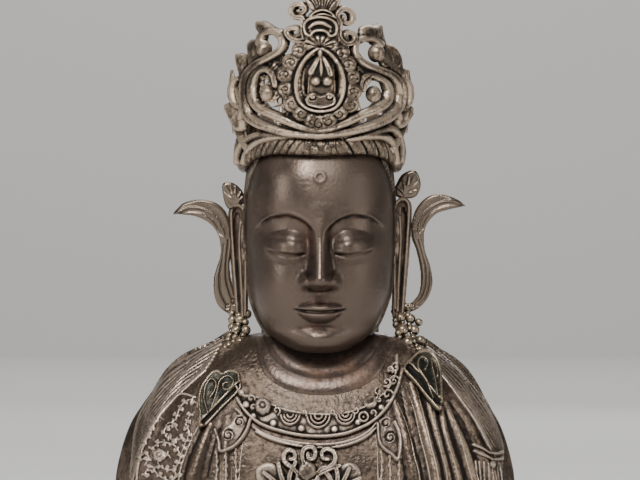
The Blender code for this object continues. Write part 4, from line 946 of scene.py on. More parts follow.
PENDANTS = (
    {"outline": ((-56.2, 90), (-53.8, 92.8), (-50.8, 93.6), (-48.8, 92.2), (-45.2, 93.8), (-41.2, 93),
                 (-40.5, 90), (-40.5, 85.5), (-49.2, 76.5), (-58.8, 67.2), (-59.4, 72), (-60.1, 80),
                 (-58.8, 86)),
     "tears": (((-55.6, 73), (-57.6, 80), (-57, 86), (-54.4, 90), (-51.8, 88), (-52.5, 84), (-54.8, 80.6)),
               ((-53.8, 76), (-51.4, 83), (-49.8, 89), (-45.8, 91.5), (-43, 89), (-44.6, 85.4), (-47.8, 85),
                (-48, 87.6), (-45.9, 88.2))),
     "bevel": ((-40.6, 85.6), (-49.2, 76.6), (-58.6, 67.6)), "beads": ((-40.3, 108.2, 3.0),
                                                                       (-43.0, 101.4, 3.0),
     (-48.2, 96.6, 2.7), (-42.6, 114.2, 2.7), (-46, 106.6, 2.3), (-37.6, 114.4, 2.6), (-40.6, 119.4, 2.8),
     (-37, 122.6, 2.4), (-44.4, 119.6, 2.2), (-41.4, 125, 2.6), (-49, 102.6, 1.9), (-43.8, 95.4, 1.9))},
    {"outline": ((45.8, 99.5), (50.2, 103.2), (54.8, 103), (57.8, 100.2), (59.8, 95), (60.3, 87),
                 (59.9, 75.5), (54.8, 80), (48.8, 87.8), (42.6, 94.2), (43.2, 97.2)),
     "tears": (((56.6, 81), (52.8, 89), (49.2, 95), (49.2, 99), (51.8, 100.5), (53.8, 97.5), (52.4, 94.4)),
               ((58.4, 82), (57.2, 90), (55.8, 96.6), (56.2, 99.8), (58.2, 96.5), (58.6, 91))),
     "bevel": ((43, 94), (48.8, 87.6), (54.8, 80), (59.6, 76)), "beads": ((41.6, 114.6, 3.0),
                                                                          (47.6, 114.4, 2.7),
     (50.6, 109.2, 2.7), (44.2, 108.2, 3.0), (50.4, 104.6, 2.4), (40.6, 120.6, 2.8), (45.8, 120, 2.6),
     (38.6, 126, 2.5), (43.8, 125.8, 2.5), (39.6, 109, 2.0), (45.6, 103, 2.4), (50, 118.4, 2.0))},
)


def make_pendants(cloth):
    """The strings of beads under the ears and the pointed pendants that lie on the shoulders."""
    wax = Wax()
    for side, pendant in zip((-1, 1), PENDANTS):
        outline = np.array(pendant["outline"])
        relief = Relief(outline[:, 0].min() - 3, outline[:, 0].max() + 3, outline[:, 1].min() - 3,
                        outline[:, 1].max() + 3, 0.15, -0.6)
        relief.fill(outline, 3.4, 0.9, foot=-0.2)
        relief.stroke(np.vstack([outline, outline[:1]]), (2.2,), (4.2,), 2.2)
        relief.fill(outline, -0.6, 9.0, "add")
        for line in pendant["tears"]:
            relief.stroke(line, (1.1, 1.4, 1.2), (4.4,), 2.2)
        shift = 1.7 if side < 0 else 1.9
        bevel = np.array(pendant["bevel"]) + shift * np.array((0.68, 0.72))
        relief.stroke(bevel, (3.8, 4.2, 3.0), (-2.6,), 3, "add")
        placed, normals = cloth.lay(outline, 0.5)
        centre, normal = placed.mean(0), normals.mean(0)
        normal /= np.linalg.norm(normal)

        def place(x, z, lift):
            y = centre[1] - (normal[0] * (x - centre[0]) + normal[2] * (z - centre[2])) / normal[1]
            return np.stack([x + lift * normal[0] * 0.4, y + lift * normal[1], z + lift * normal[2] * 0.4],
                            axis=-1)

        relief.plate(wax, place, 0.32, -1.0)
        top = np.array([side * 46, -9.0, 104 - 5.6 * (side < 0)])
        line = spline([(side * 41.6, 4, 122), (side * 42.2, -0.5, 114 - 1.9 * (side < 0)), top], 6)
        wax.rod(line, (2.6, 3.0, 3.4), (3, 3.4, 4), (0, -1, 0), 10, 20)
        for x, z, radius in pendant["beads"]:
            share = float(np.clip((122 - z) / 18, -0.3, 1.1))
            wax.ball((x, 3.0 - 12.5 * share, z), (radius, radius * 0.95, radius * 1.05), 0, 20, 12)
        rope = spline([(41.2, 126), (41.4, 119), (43.2, 112), (46, 105), (48.6, 98.4)], 14)
        for k, (x, z) in enumerate(rope):
            for column in (-1, 0, 1):
                radius = 1.55 + 0.5 * math.sin(2.4 * k + 1.9 * column + side)
                high = z + 1.1 * (column == 0) - 3.2 * (side < 0)
                share = float(np.clip((122 - high) / 18, -0.3, 1.25))
                wax.ball((side * (x + 3.3 * column), 2.2 - 12.5 * share + 0.8 * abs(column), high),
                         (radius,) * 3, 0, 16, 10)
    return wax.cast("pendants", "pendant_bronze", "figure")


# Ears, ribbons and the leaves over the ears

RIBBONS = (
    ((-74.7, 173.2), (-69.8, 178.3), (-64.3, 180.2), (-59.3, 180.6), (-53.3, 179.3), (-48.8, 176),
     (-46.2, 171), (-44.8, 164), (-44.2, 157), (-45.6, 149), (-45.2, 141), (-43.0, 134), (-41, 128),
     (-41.5, 123.6), (-46, 122.6), (-51.2, 126.2), (-53.6, 132), (-53.9, 140), (-52.4, 146), (-50.6, 151.5),
     (-50.4, 157), (-51.4, 162), (-54, 166.4), (-57.8, 169.6), (-63.3, 172), (-69.3, 172.8)),
    ((-73.9, 177.2), (-69.8, 180.6), (-62.4, 183.2), (-55.8, 182.6), (-50, 178), (-46.8, 171), (-46.2, 162),
     (-48.6, 155), (-50.4, 147), (-51, 140), (-50, 133), (-46.4, 128.4), (-43, 126.4), (-44.4, 123.4),
     (-50, 125.4), (-54.9, 131), (-57, 138.4), (-55.8, 147), (-53.4, 154), (-52.6, 161.6), (-54.2, 168),
     (-59, 173.2), (-64, 175), (-69.8, 176.4)))
MIDRIBS = (((-73.6, 173.2), (-66.5, 176.2), (-59.4, 175.6), (-53.6, 172), (-49.8, 166.2), (-47.6, 159.5)),
           ((-73, 177.6), (-66, 179.6), (-59.4, 178.4), (-53.6, 174.2), (-50.2, 168.2), (-49.6, 161)))
STEM_LINES = ((((-46.2, 160), (-47.2, 150), (-47.4, 141), (-45.8, 134), (-43.4, 128)),
               ((-48.6, 158), (-49.4, 150), (-50.6, 142), (-50.2, 134), (-47, 127))),
              (((-49.4, 160), (-51.4, 153), (-53, 146), (-53, 138), (-51, 131.4), (-47.4, 127.4)),
               ((-51, 160), (-52.8, 153), (-54.8, 146), (-55, 138), (-53.2, 131), (-49.4, 126.6))))
EAR_LEAVES = (
    ((-49.7, 186.8), (-48.6, 189), (-44.6, 189.2), (-40.8, 186.8), (-38.2, 182.6), (-38, 179), (-41.4, 177),
     (-45.8, 175.4), (-48.4, 179.4)),
    ((-37.5, 186.4), (-41.5, 193.2), (-47.5, 195.4), (-50.2, 192.1), (-50.8, 186.4), (-47.9, 181.6),
     (-41.5, 181), (-37.9, 182.6)))
LEAF_TIPS = (((-48.8, 184), (-48, 187.6), (-45.4, 188.4), (-42.6, 187.2), (-39.8, 184.4), (-38.6, 181.6)),
             ((-49.8, 185), (-49.8, 189.6), (-48, 193.6), (-44.8, 193.4), (-41.2, 190.6), (-38.6, 186.6)))
EAR = ((36.6, 170), (38, 175.4), (41.6, 178.4), (45.4, 176.4), (46.4, 168), (45.8, 156), (44.8, 144),
       (43.6, 132), (42.8, 121), (41.2, 115.6), (38.6, 116.4), (37.4, 124), (37.2, 134), (37, 146),
       (36.4, 156))
HELIX = ((37.4, 171.6), (39.2, 176), (42.4, 177.6), (45, 175), (45.2, 168), (44.6, 158), (43.8, 146),
         (42.8, 133), (41.9, 120))


def draw_side(side):
    """The ribbon, the leaf over the ear and the ear of one side, drawn where x is below 0."""
    which = 0 if side < 0 else 1
    ribbon = Relief(-80, -36, 118, 188, 0.2, -1.0)
    ribbon.fill(RIBBONS[which], 1.1, 1.6, foot=-0.8)
    ribbon.stroke(MIDRIBS[which], (0.8, 1.3, 1.5, 1.4, 1.2), (1.4, 1.9, 1.9, 1.8, 1.2), 2.0)
    rib = spline(MIDRIBS[which], 26)
    for k in range(2, 24):
        along = rib[k + 1] - rib[k - 1]
        along /= np.linalg.norm(along)
        for way, reach in ((-1, 4.4), (1, 3.2)):
            out = np.array((along[1], -along[0])) * way
            tip = rib[k] + reach * (0.72 * out - 0.7 * along)
            ribbon.groove((rib[k] + 0.5 * out, (rib[k] + tip) / 2 + 0.3 * out, tip), (0.6, 0.8, 0.6),
                          (-0.6 - 0.2 * way,))
    for line in STEM_LINES[which]:
        ribbon.groove(line, (1.0, 1.2, 1.1), (-0.9,))
    for x, z, radius in ((-43.4, 128.6, 1.7), (-46.6, 126, 1.9), (-42.6, 132.4, 1.3)):
        ribbon.curl(x, z, radius, 1.3, 40 * x, 0.8, -0.8)
    leaf = Relief(-54, -34, 168, 198, 0.2, -1.0)
    leaf.fill(EAR_LEAVES[which], 0.9, 1.5, foot=-0.8)
    root = np.array(((-41.4, 178), (-42.8, 182.4))[which])
    for tip in LEAF_TIPS[which]:
        leaf.stroke((root, (root + tip) / 2 + (-0.5, 0.5), tip), (0.8, 1.8, 1.0), (1.2, 1.9, 1.1))
    ear = Relief(-50, -33, 112, 182, 0.2, -1.0)
    ear.fill([(-x, z) for x, z in EAR], 0.5, 1.4, foot=-0.8)
    ear.stroke([(-x, z) for x, z in HELIX], (2.0, 2.6, 2.8, 2.6, 2.4, 2.0), (2.4, 2.9, 2.6, 2.2), 2.2)
    ear.stroke(((-40.4, 168.6), (-41, 158), (-40.4, 146), (-39.8, 134), (-39.4, 121)), (1.6, 2.0, 1.9, 1.8),
               (1.8, 2.2, 1.9))
    ear.groove(((-42.2, 172.6), (-42.9, 166), (-42.8, 158)), (2.0, 2.4, 1.2), (-1.5,))
    ear.disc(-37.8, 157.4, 2.1, 2.3)
    ear.disc(-38.4, 151.4, 1.6, -1.7, mode="add")
    ear.stroke(((-37.8, 148.6), (-37.8, 136), (-38, 122)), (1.5, 1.8, 1.4), (1.8,))
    raised = 0 if side < 0 else SIDE_DROP

    def upright(depth, rake=0.0, lift=0.0):
        def place(x, z, rise):
            y = depth - 0.07 * (z - 112) + rake * (-x - 39.2) - rise
            return np.stack([-side * x, y, z + lift], axis=-1)
        return place

    return ((ribbon, upright(4.6)), (leaf, upright(3.4)), (ear, upright(1.4, 0.95, raised)))


def add_side(wax, drawn, place, side, back):
    """A drawn form of one side. Where it is mirrored, its faces are turned round."""
    part = Wax()
    drawn.plate(part, place, 0.4, back)
    faces = part.faces if side < 0 else [face[:, ::-1] for face in part.faces]
    wax.add(np.vstack(part.points), faces, np.concatenate(part.marks))


def make_ribbons():
    wax = Wax()
    for side in (-1, 1):
        ribbon, leaf, _ = draw_side(side)
        add_side(wax, *ribbon, side, -2.6)
        add_side(wax, *leaf, side, -2.2)
    return wax.cast("ribbons", "dusty_bronze", "figure")


def make_ears():
    wax = Wax()
    keys = (114.5, 118.5, 125, 134, 143, 152, 162, 169, 173)
    z = np.linspace(114.5, 173, 60)
    thick = through(keys, (2.0, 3.6, 3.8, 3.8, 4.4, 5.2, 5.4, 4.4, 1.5), z)[:, None]
    deep = through(keys, (3.0, 5.6, 6.2, 6.4, 8, 10, 10, 7, 3), z)[:, None]
    a = np.linspace(0, 2 * math.pi, 32, endpoint=False)
    out, along = 0.5 * thick * np.cos(a), 0.62 * deep * np.sin(a)
    lean = math.radians(42)
    x = 39.2 + 0.8 * fade(118, 150, z)[:, None] + out * math.cos(lean) + along * math.sin(lean)
    y = 4.6 - out * math.sin(lean) + along * math.cos(lean)
    for side in (-1, 1):
        rings = np.stack([side * x, y, np.broadcast_to(z[:, None], x.shape)], axis=2)
        wax.grid(bowed(rings if side > 0 else rings[:, ::-1]))
        add_side(wax, *draw_side(side)[2], side, -2.6)
    return wax.cast("ears", "ear_bronze", "figure")


# The crown. A point of it is given as x and its height over the brow, and lies on a curved screen.

CROWN_BASE = DRAWN_HEAD[1]
SCREEN_H = (-16, 0, 12, 25, 38, 50, 62, 82)
SCREEN_HALF = (39.5, 41.5, 42.5, 43, 41, 37.5, 33, 28)
SCREEN_DEPTH = (45, 48.5, 50.5, 51.5, 50.5, 48, 45, 41)
SIDE_RADIUS = 46.0
BAND_H_ANGLES = (0, 0.5, 0.9, 1.3, 1.8, math.pi)
BAND_H = (3.2, 4.0, 1.5, -5, -8, -8)
ROD = 5.0


def round_screen(angle, h, lift=0.0):
    """A point of the screen at an angle round the head, 0 in front and half a turn behind."""
    half, depth = through(SCREEN_H, SCREEN_HALF, h) + lift, through(SCREEN_H, SCREEN_DEPTH, h) + lift
    angle = np.asarray(angle, float)
    up = CROWN_BASE + np.asarray(h, float) + 0 * angle
    return np.stack([half * np.sin(angle), 2 - depth * np.cos(angle), up], axis=-1)


def away_from_head(points):
    """Directions that lead straight out from the head's axis."""
    out = np.array(points, float) - (0, 2, 0)
    out[:, 2] = 0
    return out / np.linalg.norm(out, axis=1, keepdims=True)


def crown_rod(wax, points, widths, depths=None, sides=12, count=None, relief=None):
    """A rod through points that already lie on the screen."""
    count = count or int(length(points) / 0.9) + 6
    wax.rod(bowed(points), widths, widths if depths is None else depths, away_from_head(points), sides, count,
            relief)


def on_front(x, h, lift):
    """A point of the crown's front as the camera sees it. Past the screen's turn its leaves flare."""
    half, depth = through(SCREEN_H, SCREEN_HALF, h), through(SCREEN_H, SCREEN_DEPTH, h)
    share = np.clip(x / half, -0.9, 0.9)
    beyond = x - share * half
    slope = np.sqrt(1 - share**2)
    away = np.stack([share / half, -slope / depth], axis=-1)
    away /= np.linalg.norm(away, axis=-1, keepdims=True)
    across = share * half + beyond + away[..., 0] * lift
    back = 2 - depth * slope + 1.2 * np.abs(beyond) + away[..., 1] * lift
    return bowed(np.stack([across, back, CROWN_BASE + h], axis=-1))


# Lines of the crown's front in the view from ahead: x across, and height over the brow
OUTER_SCROLLS = (
    ((-2, 8.9), (8, 10), (18, 11.7), (26.8, 14), (34.2, 17.3), (38.9, 22), (40.5, 27.9), (39.2, 33.6),
     (35.2, 38.1), (29.2, 41.1), (23, 43.9), (18.9, 47.3), (17.4, 51.7), (18.9, 55.4), (22.4, 57.1),
     (26.8, 56.2), (30.2, 53.6)),
    ((-0.1, 9.2), (-8.2, 9.6), (-17, 10.4), (-24.5, 12.3), (-30.8, 14.5), (-35.4, 17.9), (-37, 23.2),
     (-37.3, 29.5), (-36.7, 35.8), (-34.8, 40.1), (-30.1, 44.5), (-24.5, 47.9), (-20.1, 50.8), (-18.2, 55.1),
     (-20.4, 58.9), (-24.8, 60.1), (-28.9, 58.2), (-30.1, 53.9)),
)
INNER_SCROLLS = (
    ((-1.7, 11.4), (5.5, 12.6), (11.8, 15.1), (19.2, 18.6), (26.8, 21.4), (32.4, 24.8), (34.1, 28.9),
     (33, 33.6), (29.2, 37), (24.9, 38.8), (21.4, 37), (21.6, 32)),
    ((-0.4, 11.4), (-8.2, 12.9), (-15.8, 16.1), (-23.2, 19.2), (-29.5, 22), (-32.9, 26.4), (-33.6, 32),
     (-32.6, 37), (-30.1, 40.8), (-26.4, 41.7), (-23.2, 38.9), (-22, 33.9)),
)
ARCHES = (
    ((14, 6.9), (18, 7.4), (23.6, 8.9), (30.5, 11.1), (35.8, 11.4), (39.2, 7.6), (40.6, 2), (40.8, -4.9)),
    ((-14, 8.6), (-18.9, 8.9), (-27, 9.2), (-33.2, 7.6), (-38.2, 4.2), (-41.1, -0.5), (-42, -6.1)),
    ((16, 7.4), (22, 8.2), (28.6, 8.4), (33.4, 7), (36.6, 3.4), (38, -1.6), (38.6, -6)),
    ((-16, 8.4), (-23, 8), (-29, 6.4), (-33.6, 3.2), (-37, -1.4), (-38.6, -6)),
)
MANDORLA = ((0, 58.2), (-4.5, 56.4), (-10.1, 53.2), (-14.5, 48.6), (-17.6, 43.2), (-19.4, 37), (-19.5, 30.8),
            (-17.6, 23.9), (-13.2, 18.9), (-7.6, 15.1), (-1.4, 13.2), (5.5, 14.2), (11.8, 17.6), (16.8, 22.6),
            (19.2, 28.9), (19.6, 35.8), (17.4, 42), (14.2, 47.6), (9.9, 52.9), (4.9, 56.4))
HALO_RING = ((0, 52.9), (-4.2, 50.1), (-7.9, 45.8), (-10.6, 40.1), (-11.5, 33.9), (-10.4, 27.9), (-7.6, 23.9),
             (-3.2, 21.7), (1.8, 21.4), (6.8, 22.9), (9.9, 27), (11.4, 33.2), (10.8, 39.5), (8.3, 45.4),
             (4.6, 50.1), (0, 52.9))
CLOUD_CURLS = ((-5.1, 55.1), (-10.1, 51.4), (-14.2, 45.4), (-17, 39.5), (-16.7, 32.3), (-13.6, 25.1),
               (-9.2, 20.4), (-4.2, 16.7), (0.2, 15.4), (4.6, 16.9), (9.6, 20.4), (14.9, 24.8), (16.1, 31.1),
               (15.8, 37.9), (13.6, 44.5), (10.2, 50.1), (5.8, 54.2))
SLOTS = (((-6.5, 42.6), (-7, 38.2), (-7.3, 33.9), (-7.1, 30.4)), ((7.7, 44.2), (8.5, 39.5), (8.8, 34.5),
                                                                  (8.5, 30.4)))
RUYI = ((-6.7, 59.8), (-7.3, 63.9), (-5.1, 66.7), (-0.1, 67.8), (4.9, 66.7), (7.6, 63.6), (7.1, 59.5),
        (4.6, 58.6), (3.1, 60.6), (0, 61.4), (-3.1, 60.6), (-4.5, 58.6), (-6.7, 59.8))
CRESCENT = (((-4.8, 68.2), (-2, 70.4), (1.4, 71.2), (4.9, 70), (7.1, 67.3)),
            ((-4.8, 68.2), (-1.7, 69), (1.8, 69.4), (4.9, 68.6), (7.1, 67.3)))
PALMETTE = ((-8.4, 78.9), (-7, 74.5), (-4.5, 70.8), (1.1, 70.4), (6.8, 70.1), (9.9, 73.9), (10.8, 78.4),
            (6.8, 79.4), (1.1, 79.8), (-4.5, 79.4))
SHELL = ((-8.2, 53.9), (-7, 57), (-4.2, 58.8), (-0.8, 59.3), (3.3, 58.8), (6.4, 56.7), (7.4, 53.8),
         (3.6, 52.5), (0, 52.1), (-4.5, 52.5))
TOP_CURLS = (
    ((-7.3, 56.4), (-8.2, 61.4), (-7.8, 65.1), (-9, 67.6), (-12.3, 67.9), (-14, 70.8), (-12.3, 73.6),
     (-8.9, 73.9), (-7.3, 71.7), (-8.9, 69.8), (-10.8, 70.8)),
    ((-7, 56.4), (-10.8, 56.1), (-14.5, 57.6), (-16.1, 60.4), (-13.9, 62.3), (-10.8, 61.7), (-10, 59.5),
     (-12, 58.6)),
    ((8.3, 56.4), (8.9, 60.8), (9.6, 64.5), (8.3, 67.6), (8.9, 70.4), (11.8, 71.7), (15.2, 70.1),
     (16.2, 66.7), (14.2, 64.5), (11.4, 65.8), (11.8, 67.9)),
    ((9.2, 61.4), (9.6, 57.6), (12.1, 54.8), (15.8, 55.1), (17.1, 57.9), (14.9, 60.1), (12.4, 59.2),
     (13.3, 57)),
)
# Leaves at the edges of the crown: outline, then the feet and tips of their ribs
EDGE_LEAVES = (
    (((20.1, 55.2), (20.6, 61.7), (24.2, 63.6), (27.4, 63.1), (31.1, 63.6), (32.4, 58.9), (33.5, 52.9),
      (28.6, 54.8)),
     (27, 54), ((22.6, 62.6), (25.8, 62.6), (28.6, 62.2), (30.8, 62.4))),
    (((-28.5, 56.2), (-32.6, 60.8), (-32.8, 64.5), (-31.9, 65.4), (-27.6, 64.8), (-23.2, 62.3), (-18.2, 61.1),
      (-21, 57.9)), (-26, 57), ((-31.8, 64), (-30, 63.6), (-27, 63.6), (-22, 61.4))),
    (((-30.1, 55.8), (-34.2, 56.4), (-37, 53.9), (-37, 49.5), (-35.8, 42), (-31, 44.5)),
     (-33, 44), ((-36, 53), (-34.3, 54.8), (-32, 55))),
    (((-35.7, 47.9), (-42.3, 48.9), (-43.2, 47), (-42.3, 42), (-40.1, 36), (-36, 38.5)),
     (-38.5, 38), ((-42, 47), (-40, 47.6), (-37.5, 46.5))),
    (((-37.9, 17), (-44.5, 23.9), (-48.2, 23.4), (-48.6, 20.8), (-45.8, 14.5), (-42.6, 9.8), (-38.5, 10.4)),
     (-40.5, 11), ((-47.6, 21), (-46.2, 22.6), (-44, 22.4))),
    (((31.8, 53.9), (35.5, 53.9), (39.2, 51.4), (41.8, 45.8), (41.8, 36), (37.4, 39), (33, 43.8)),
     (37, 40), ((34, 52.6), (36.6, 51.6), (38.8, 49.6), (40.6, 46))),
    (((40.1, 42), (43.6, 41.4), (43, 37), (41.8, 33.5), (38.6, 35)), (40.5, 36), ((43, 40.5), (41.6, 40.8))),
    (((38, 17), (45.5, 22.6), (47.4, 21.1), (46.8, 17), (43.6, 12.2), (38.6, 11)),
     (40.5, 12.6), ((46.6, 18.5), (46.4, 20.6), (44.4, 21))),
)
EDGE_LOOPS = (
    ((-38, 21), (-42.6, 22.8), (-44.8, 27), (-44.8, 32), (-43.2, 35.4), (-40.1, 36.5), (-38, 34.5)),
    ((38.6, 20.4), (43, 21.6), (45.4, 25.1), (45.6, 30.1), (44.5, 34.1), (41.8, 35.7), (39.2, 34)),
)
BUDS = ((27.7, 49.5, 4.3), (26.2, 29.4, 3.9), (-27.4, 51.6, 4.0), (-25.8, 29.8, 3.7))
FOOT = -1.6


def draw_crown():
    """The carved front of the crown: infill, leaves, scrolls, halo, seated figure and finial."""
    relief = Relief(-52, 52, -16, 82, 0.2, -3.0)
    for sheet in (((-32, 46), (-20, 50), (-17, 44), (-19, 33), (-19, 26), (-21.5, 23.5), (-28, 23),
                   (-30.5, 28), (-30.5, 36)),
                  ((17, 49), (22, 43.5), (30, 40), (33, 36), (28, 36), (22.5, 37.5), (20.5, 34), (19, 36),
                   (17.5, 42)),
                  ((-16, 14), (0, 12.5), (16, 14), (19, 22), (0, 17), (-19, 22)),
                  ((28, 54), (33, 50), (37, 42), (33, 39), (31, 44)),
                  ((-29, 56), (-34, 52), (-37, 42), (-34, 40), (-30, 47))):
        relief.fill(sheet, -0.2, 1.0, foot=FOOT, rough=0.75)
    for outline, foot, tips in EDGE_LEAVES:
        relief.fill(outline, 0.9, 2.2, foot=FOOT)
        for tip in tips:
            relief.stroke((foot, ((foot[0] + tip[0]) / 2, (foot[1] + tip[1]) / 2), tip), (1.2, 1.8, 0.8),
                          (0.5, 1.7, 0.8))
    for line in EDGE_LOOPS:
        relief.stroke(line, (2.2, 3.0, 2.6), (1.4,), 2, foot=FOOT)
        relief.groove(line, (0.9,), (-0.7,))
    for line in OUTER_SCROLLS:
        relief.stroke(line, (4.0, 5.0, 4.8, 4.2, 3.6), (2.4, 2.7, 2.6, 2.4, 2.0), 3.0, foot=FOOT)
        relief.groove(np.array(line) * (0.985, 1.0) + (0, 0.7), (1.1, 1.5, 1.4, 1.0), (-0.35,))
    for line in INNER_SCROLLS:
        relief.stroke(line, (3.4, 4.6, 4.8, 4.2, 3.4), (2.2, 2.8, 2.8, 2.3, 1.6), 3.0, foot=FOOT)
        relief.groove(np.array(line) * (0.985, 1.0) + (0, 0.5), (1.1, 1.5, 1.4, 1.0), (-0.35,))
    relief.fill(((24.5, 39.6), (20, 38.4), (18.6, 34), (20.4, 30.6), (23, 33), (25.6, 36.4)), 1.8, 1.6,
                foot=FOOT)
    relief.groove(((24.6, 38.8), (21.6, 36), (20.6, 32)), (0.6, 1.1, 0.5), (-0.8,))
    for line in ARCHES:
        relief.stroke(line, (2.5, 4.2, 4.4, 4.0, 3.4), (1.0, 1.8, 2.0, 1.6, 1.2), 2.2, foot=FOOT)
    relief.fill(MANDORLA, 1.0, 1.5, foot=FOOT, rough=0.5)
    for k, (x, h) in enumerate(CLOUD_CURLS):
        wide = 4.5 - 0.5 * (k % 3 == 1)
        relief.disc(x, h, wide, 2.2, 3.0, foot=0.2)
        side = -1 if x < 0 else 1
        relief.curl(x - 0.5 * side, h - 0.3, wide * 0.62, 1.05, 90 + 47 * k, 0.75, -0.75, side)
        relief.disc(x + 1.3 * side, h + 0.9, 1.2, 0.5, mode="add")
        relief.disc(x + 1.9 * side, h - 1.5, 0.9, 0.4, mode="add")
    relief.fill(HALO_RING[:-1], -0.6, 1.0)
    inside = np.array(HALO_RING[:-1]) * (0.87, 1.0)
    centre = inside.mean(0)
    place, x, h = relief.window(np.array(HALO_RING), 0)
    oval = ((x - centre[0]) / 9.6) ** 2 + ((h - centre[1] + 0.6) / 14.4) ** 2 < 1
    relief.height[place] = np.where(oval, np.minimum(relief.height[place], -0.7), relief.height[place])
    relief.stroke(HALO_RING, (2.3,), (2.7,), 2.2)
    relief.groove(np.array(HALO_RING) * (1.16, 1.07) - (0, 2.4), (0.9,), (-0.8,))
    seated_figure(relief)
    for slot in SLOTS:
        relief.stroke(slot, (1.4, 2.3, 2.3, 1.6), (0,), 2, "cut")
    finial(relief)
    for hole in (((19.6, 55), (19.4, 51.5), (22.2, 48.4)), ((-26.8, 57.4), (-23.4, 57.2), (-21, 55.4)),
                 ((-29.5, 49.6), (-28.2, 48.2))):
        relief.stroke(hole, (1.6, 3.2, 1.8), (0,), 2, "cut")
    for hole in (((26.5, 35.4), (30, 33.8), (31.6, 30.6)), ((20.8, 28.6), (21.2, 24.6), (22.4, 23.4)),
                 ((-28.4, 35.2), (-27.2, 35.8)), ((-28.4, 25.4), (-25.6, 24.2), (-22.8, 24.6)),
                 ((-20.6, 27), (-20.8, 25.4))):
        relief.stroke(hole, (1.6, 2.6, 1.8), (0,), 2, "cut")
    return relief


def seated_figure(relief):
    """The small seated figure in the halo, on its double scrolled seat."""
    relief.fill(((-5, 31), (-5.2, 41), (-3, 47), (0, 49.6), (3.2, 47), (6, 41), (6.2, 31), (0.5, 29.5)), 0.9,
                2.5)
    relief.fill(((0, 53.2), (-1.4, 50.6), (0, 47.6), (1.6, 50.6)), 2.6, 1.4)
    for line in (((-0.4, 48), (-2.6, 44), (-4.4, 40.6)), ((1.4, 48.6), (3.4, 44.4), (5, 39.8))):
        relief.stroke(line, (1.2, 3.0, 3.6), (1.8, 2.6, 2.4), 2)
        relief.groove(line, (0.7,), (-0.9,))
    relief.stroke(((0.4, 47.5), (0.6, 43), (0.6, 39)), (1.2, 2.2, 1.6), (1.8, 2.4, 1.8), 2)
    relief.disc(-1.9, 36.3, 2.7, 3.4)
    relief.disc(3.3, 36.3, 2.8, 3.4)
    relief.fill(((-6.6, 29), (-6.8, 25.4), (-4, 23.4), (0.8, 22.6), (5.4, 23.4), (7.4, 25.6), (7.2, 29.4),
                 (4.6, 31), (0.6, 29.6), (-3.8, 31)), 1.6, 1.6)
    relief.stroke(((-6.4, 27.4), (-5.6, 25), (-3, 24), (0.8, 23.4), (4.4, 24.2), (6.6, 25.4), (6.8, 28)),
                  (1.6,), (2.8,))
    for x, way in ((-3.2, 1), (4.4, -1)):
        relief.disc(x, 28.6, 2.3, 2.6)
        relief.curl(x, 28.6, 1.8, 1.2, 200 if way > 0 else -20, 0.8, -1.1, way)


def finial(relief):
    """The cloud finial: side curls, fan, ruyi cloud, crescent and the ribbed palmette at the top."""
    relief.fill(((-7.6, 56), (-8.2, 62), (-7.4, 66), (-5, 70), (0, 71), (6, 70), (8.6, 66), (9.4, 61),
                 (8.6, 56)), 0.3,
                1.4, foot=FOOT)
    for line in TOP_CURLS:
        relief.stroke(line, (4.4, 3.6, 3.6, 3.2, 2.4), (1.8, 2.2, 2.2, 2.0, 1.4), 2.2, foot=FOOT)
        relief.groove(line, (0.9,), (-0.9,))
    relief.fill(SHELL, 2.2, 1.8, foot=0)
    for k in range(7):
        angle = math.radians(160 - 140 * k / 6)
        tip = (0.2 + 7.6 * math.cos(angle), 52.8 + 6.4 * math.sin(angle))
        relief.groove(((0.1, 52.9), ((0.1 + tip[0]) / 2, (52.9 + tip[1]) / 2), tip), (0.5, 0.8, 1.0), (-0.9,))
    relief.fill(RUYI[:-1], 0.8, 1.2)
    relief.stroke(RUYI, (2.0,), (2.8,), 2.2)
    relief.stroke(((-5.0, 62.6), (-2.4, 64.6), (1.1, 64.9), (4.9, 62.8)), (2.0, 2.9, 2.9, 2.0), (2.6,), 2.2)
    relief.disc(-4.5, 60.9, 1.3, 2.3)
    relief.disc(4.9, 60.9, 1.3, 2.3)
    relief.fill(PALMETTE, 1.4, 1.6, foot=FOOT)
    for k in range(8):
        share = k / 7
        tip = (-7.6 + 17.2 * share, 79.2 - 0.8 * abs(share - 0.5))
        relief.groove(((-1.6 + 5 * share, 71), (-3.6 + 9.4 * share, 75), tip), (0.7, 0.9, 1.3), (-1.0,))
    for line in CRESCENT:
        relief.stroke(line, (1.2, 1.7, 1.2), (2.9,), 2)
    relief.groove(((-3.4, 68.6), (1.3, 70.3), (5.4, 68.6)), (0.5, 1.2, 0.5), (-1.8,))


def make_crown_front():
    """The carved openwork of the crown's front and the buds in its scrolls."""
    wax = Wax()
    draw_crown().plate(wax, on_front)
    for x, h, radius in BUDS:
        centre = on_front(np.array(x), np.array(h), np.array(0.4))
        wax.ball(centre, (radius, radius * 0.95, radius * 1.08), 0, 28, 18)
    return wax.cast("crown_front", "crown_bronze", "crown")


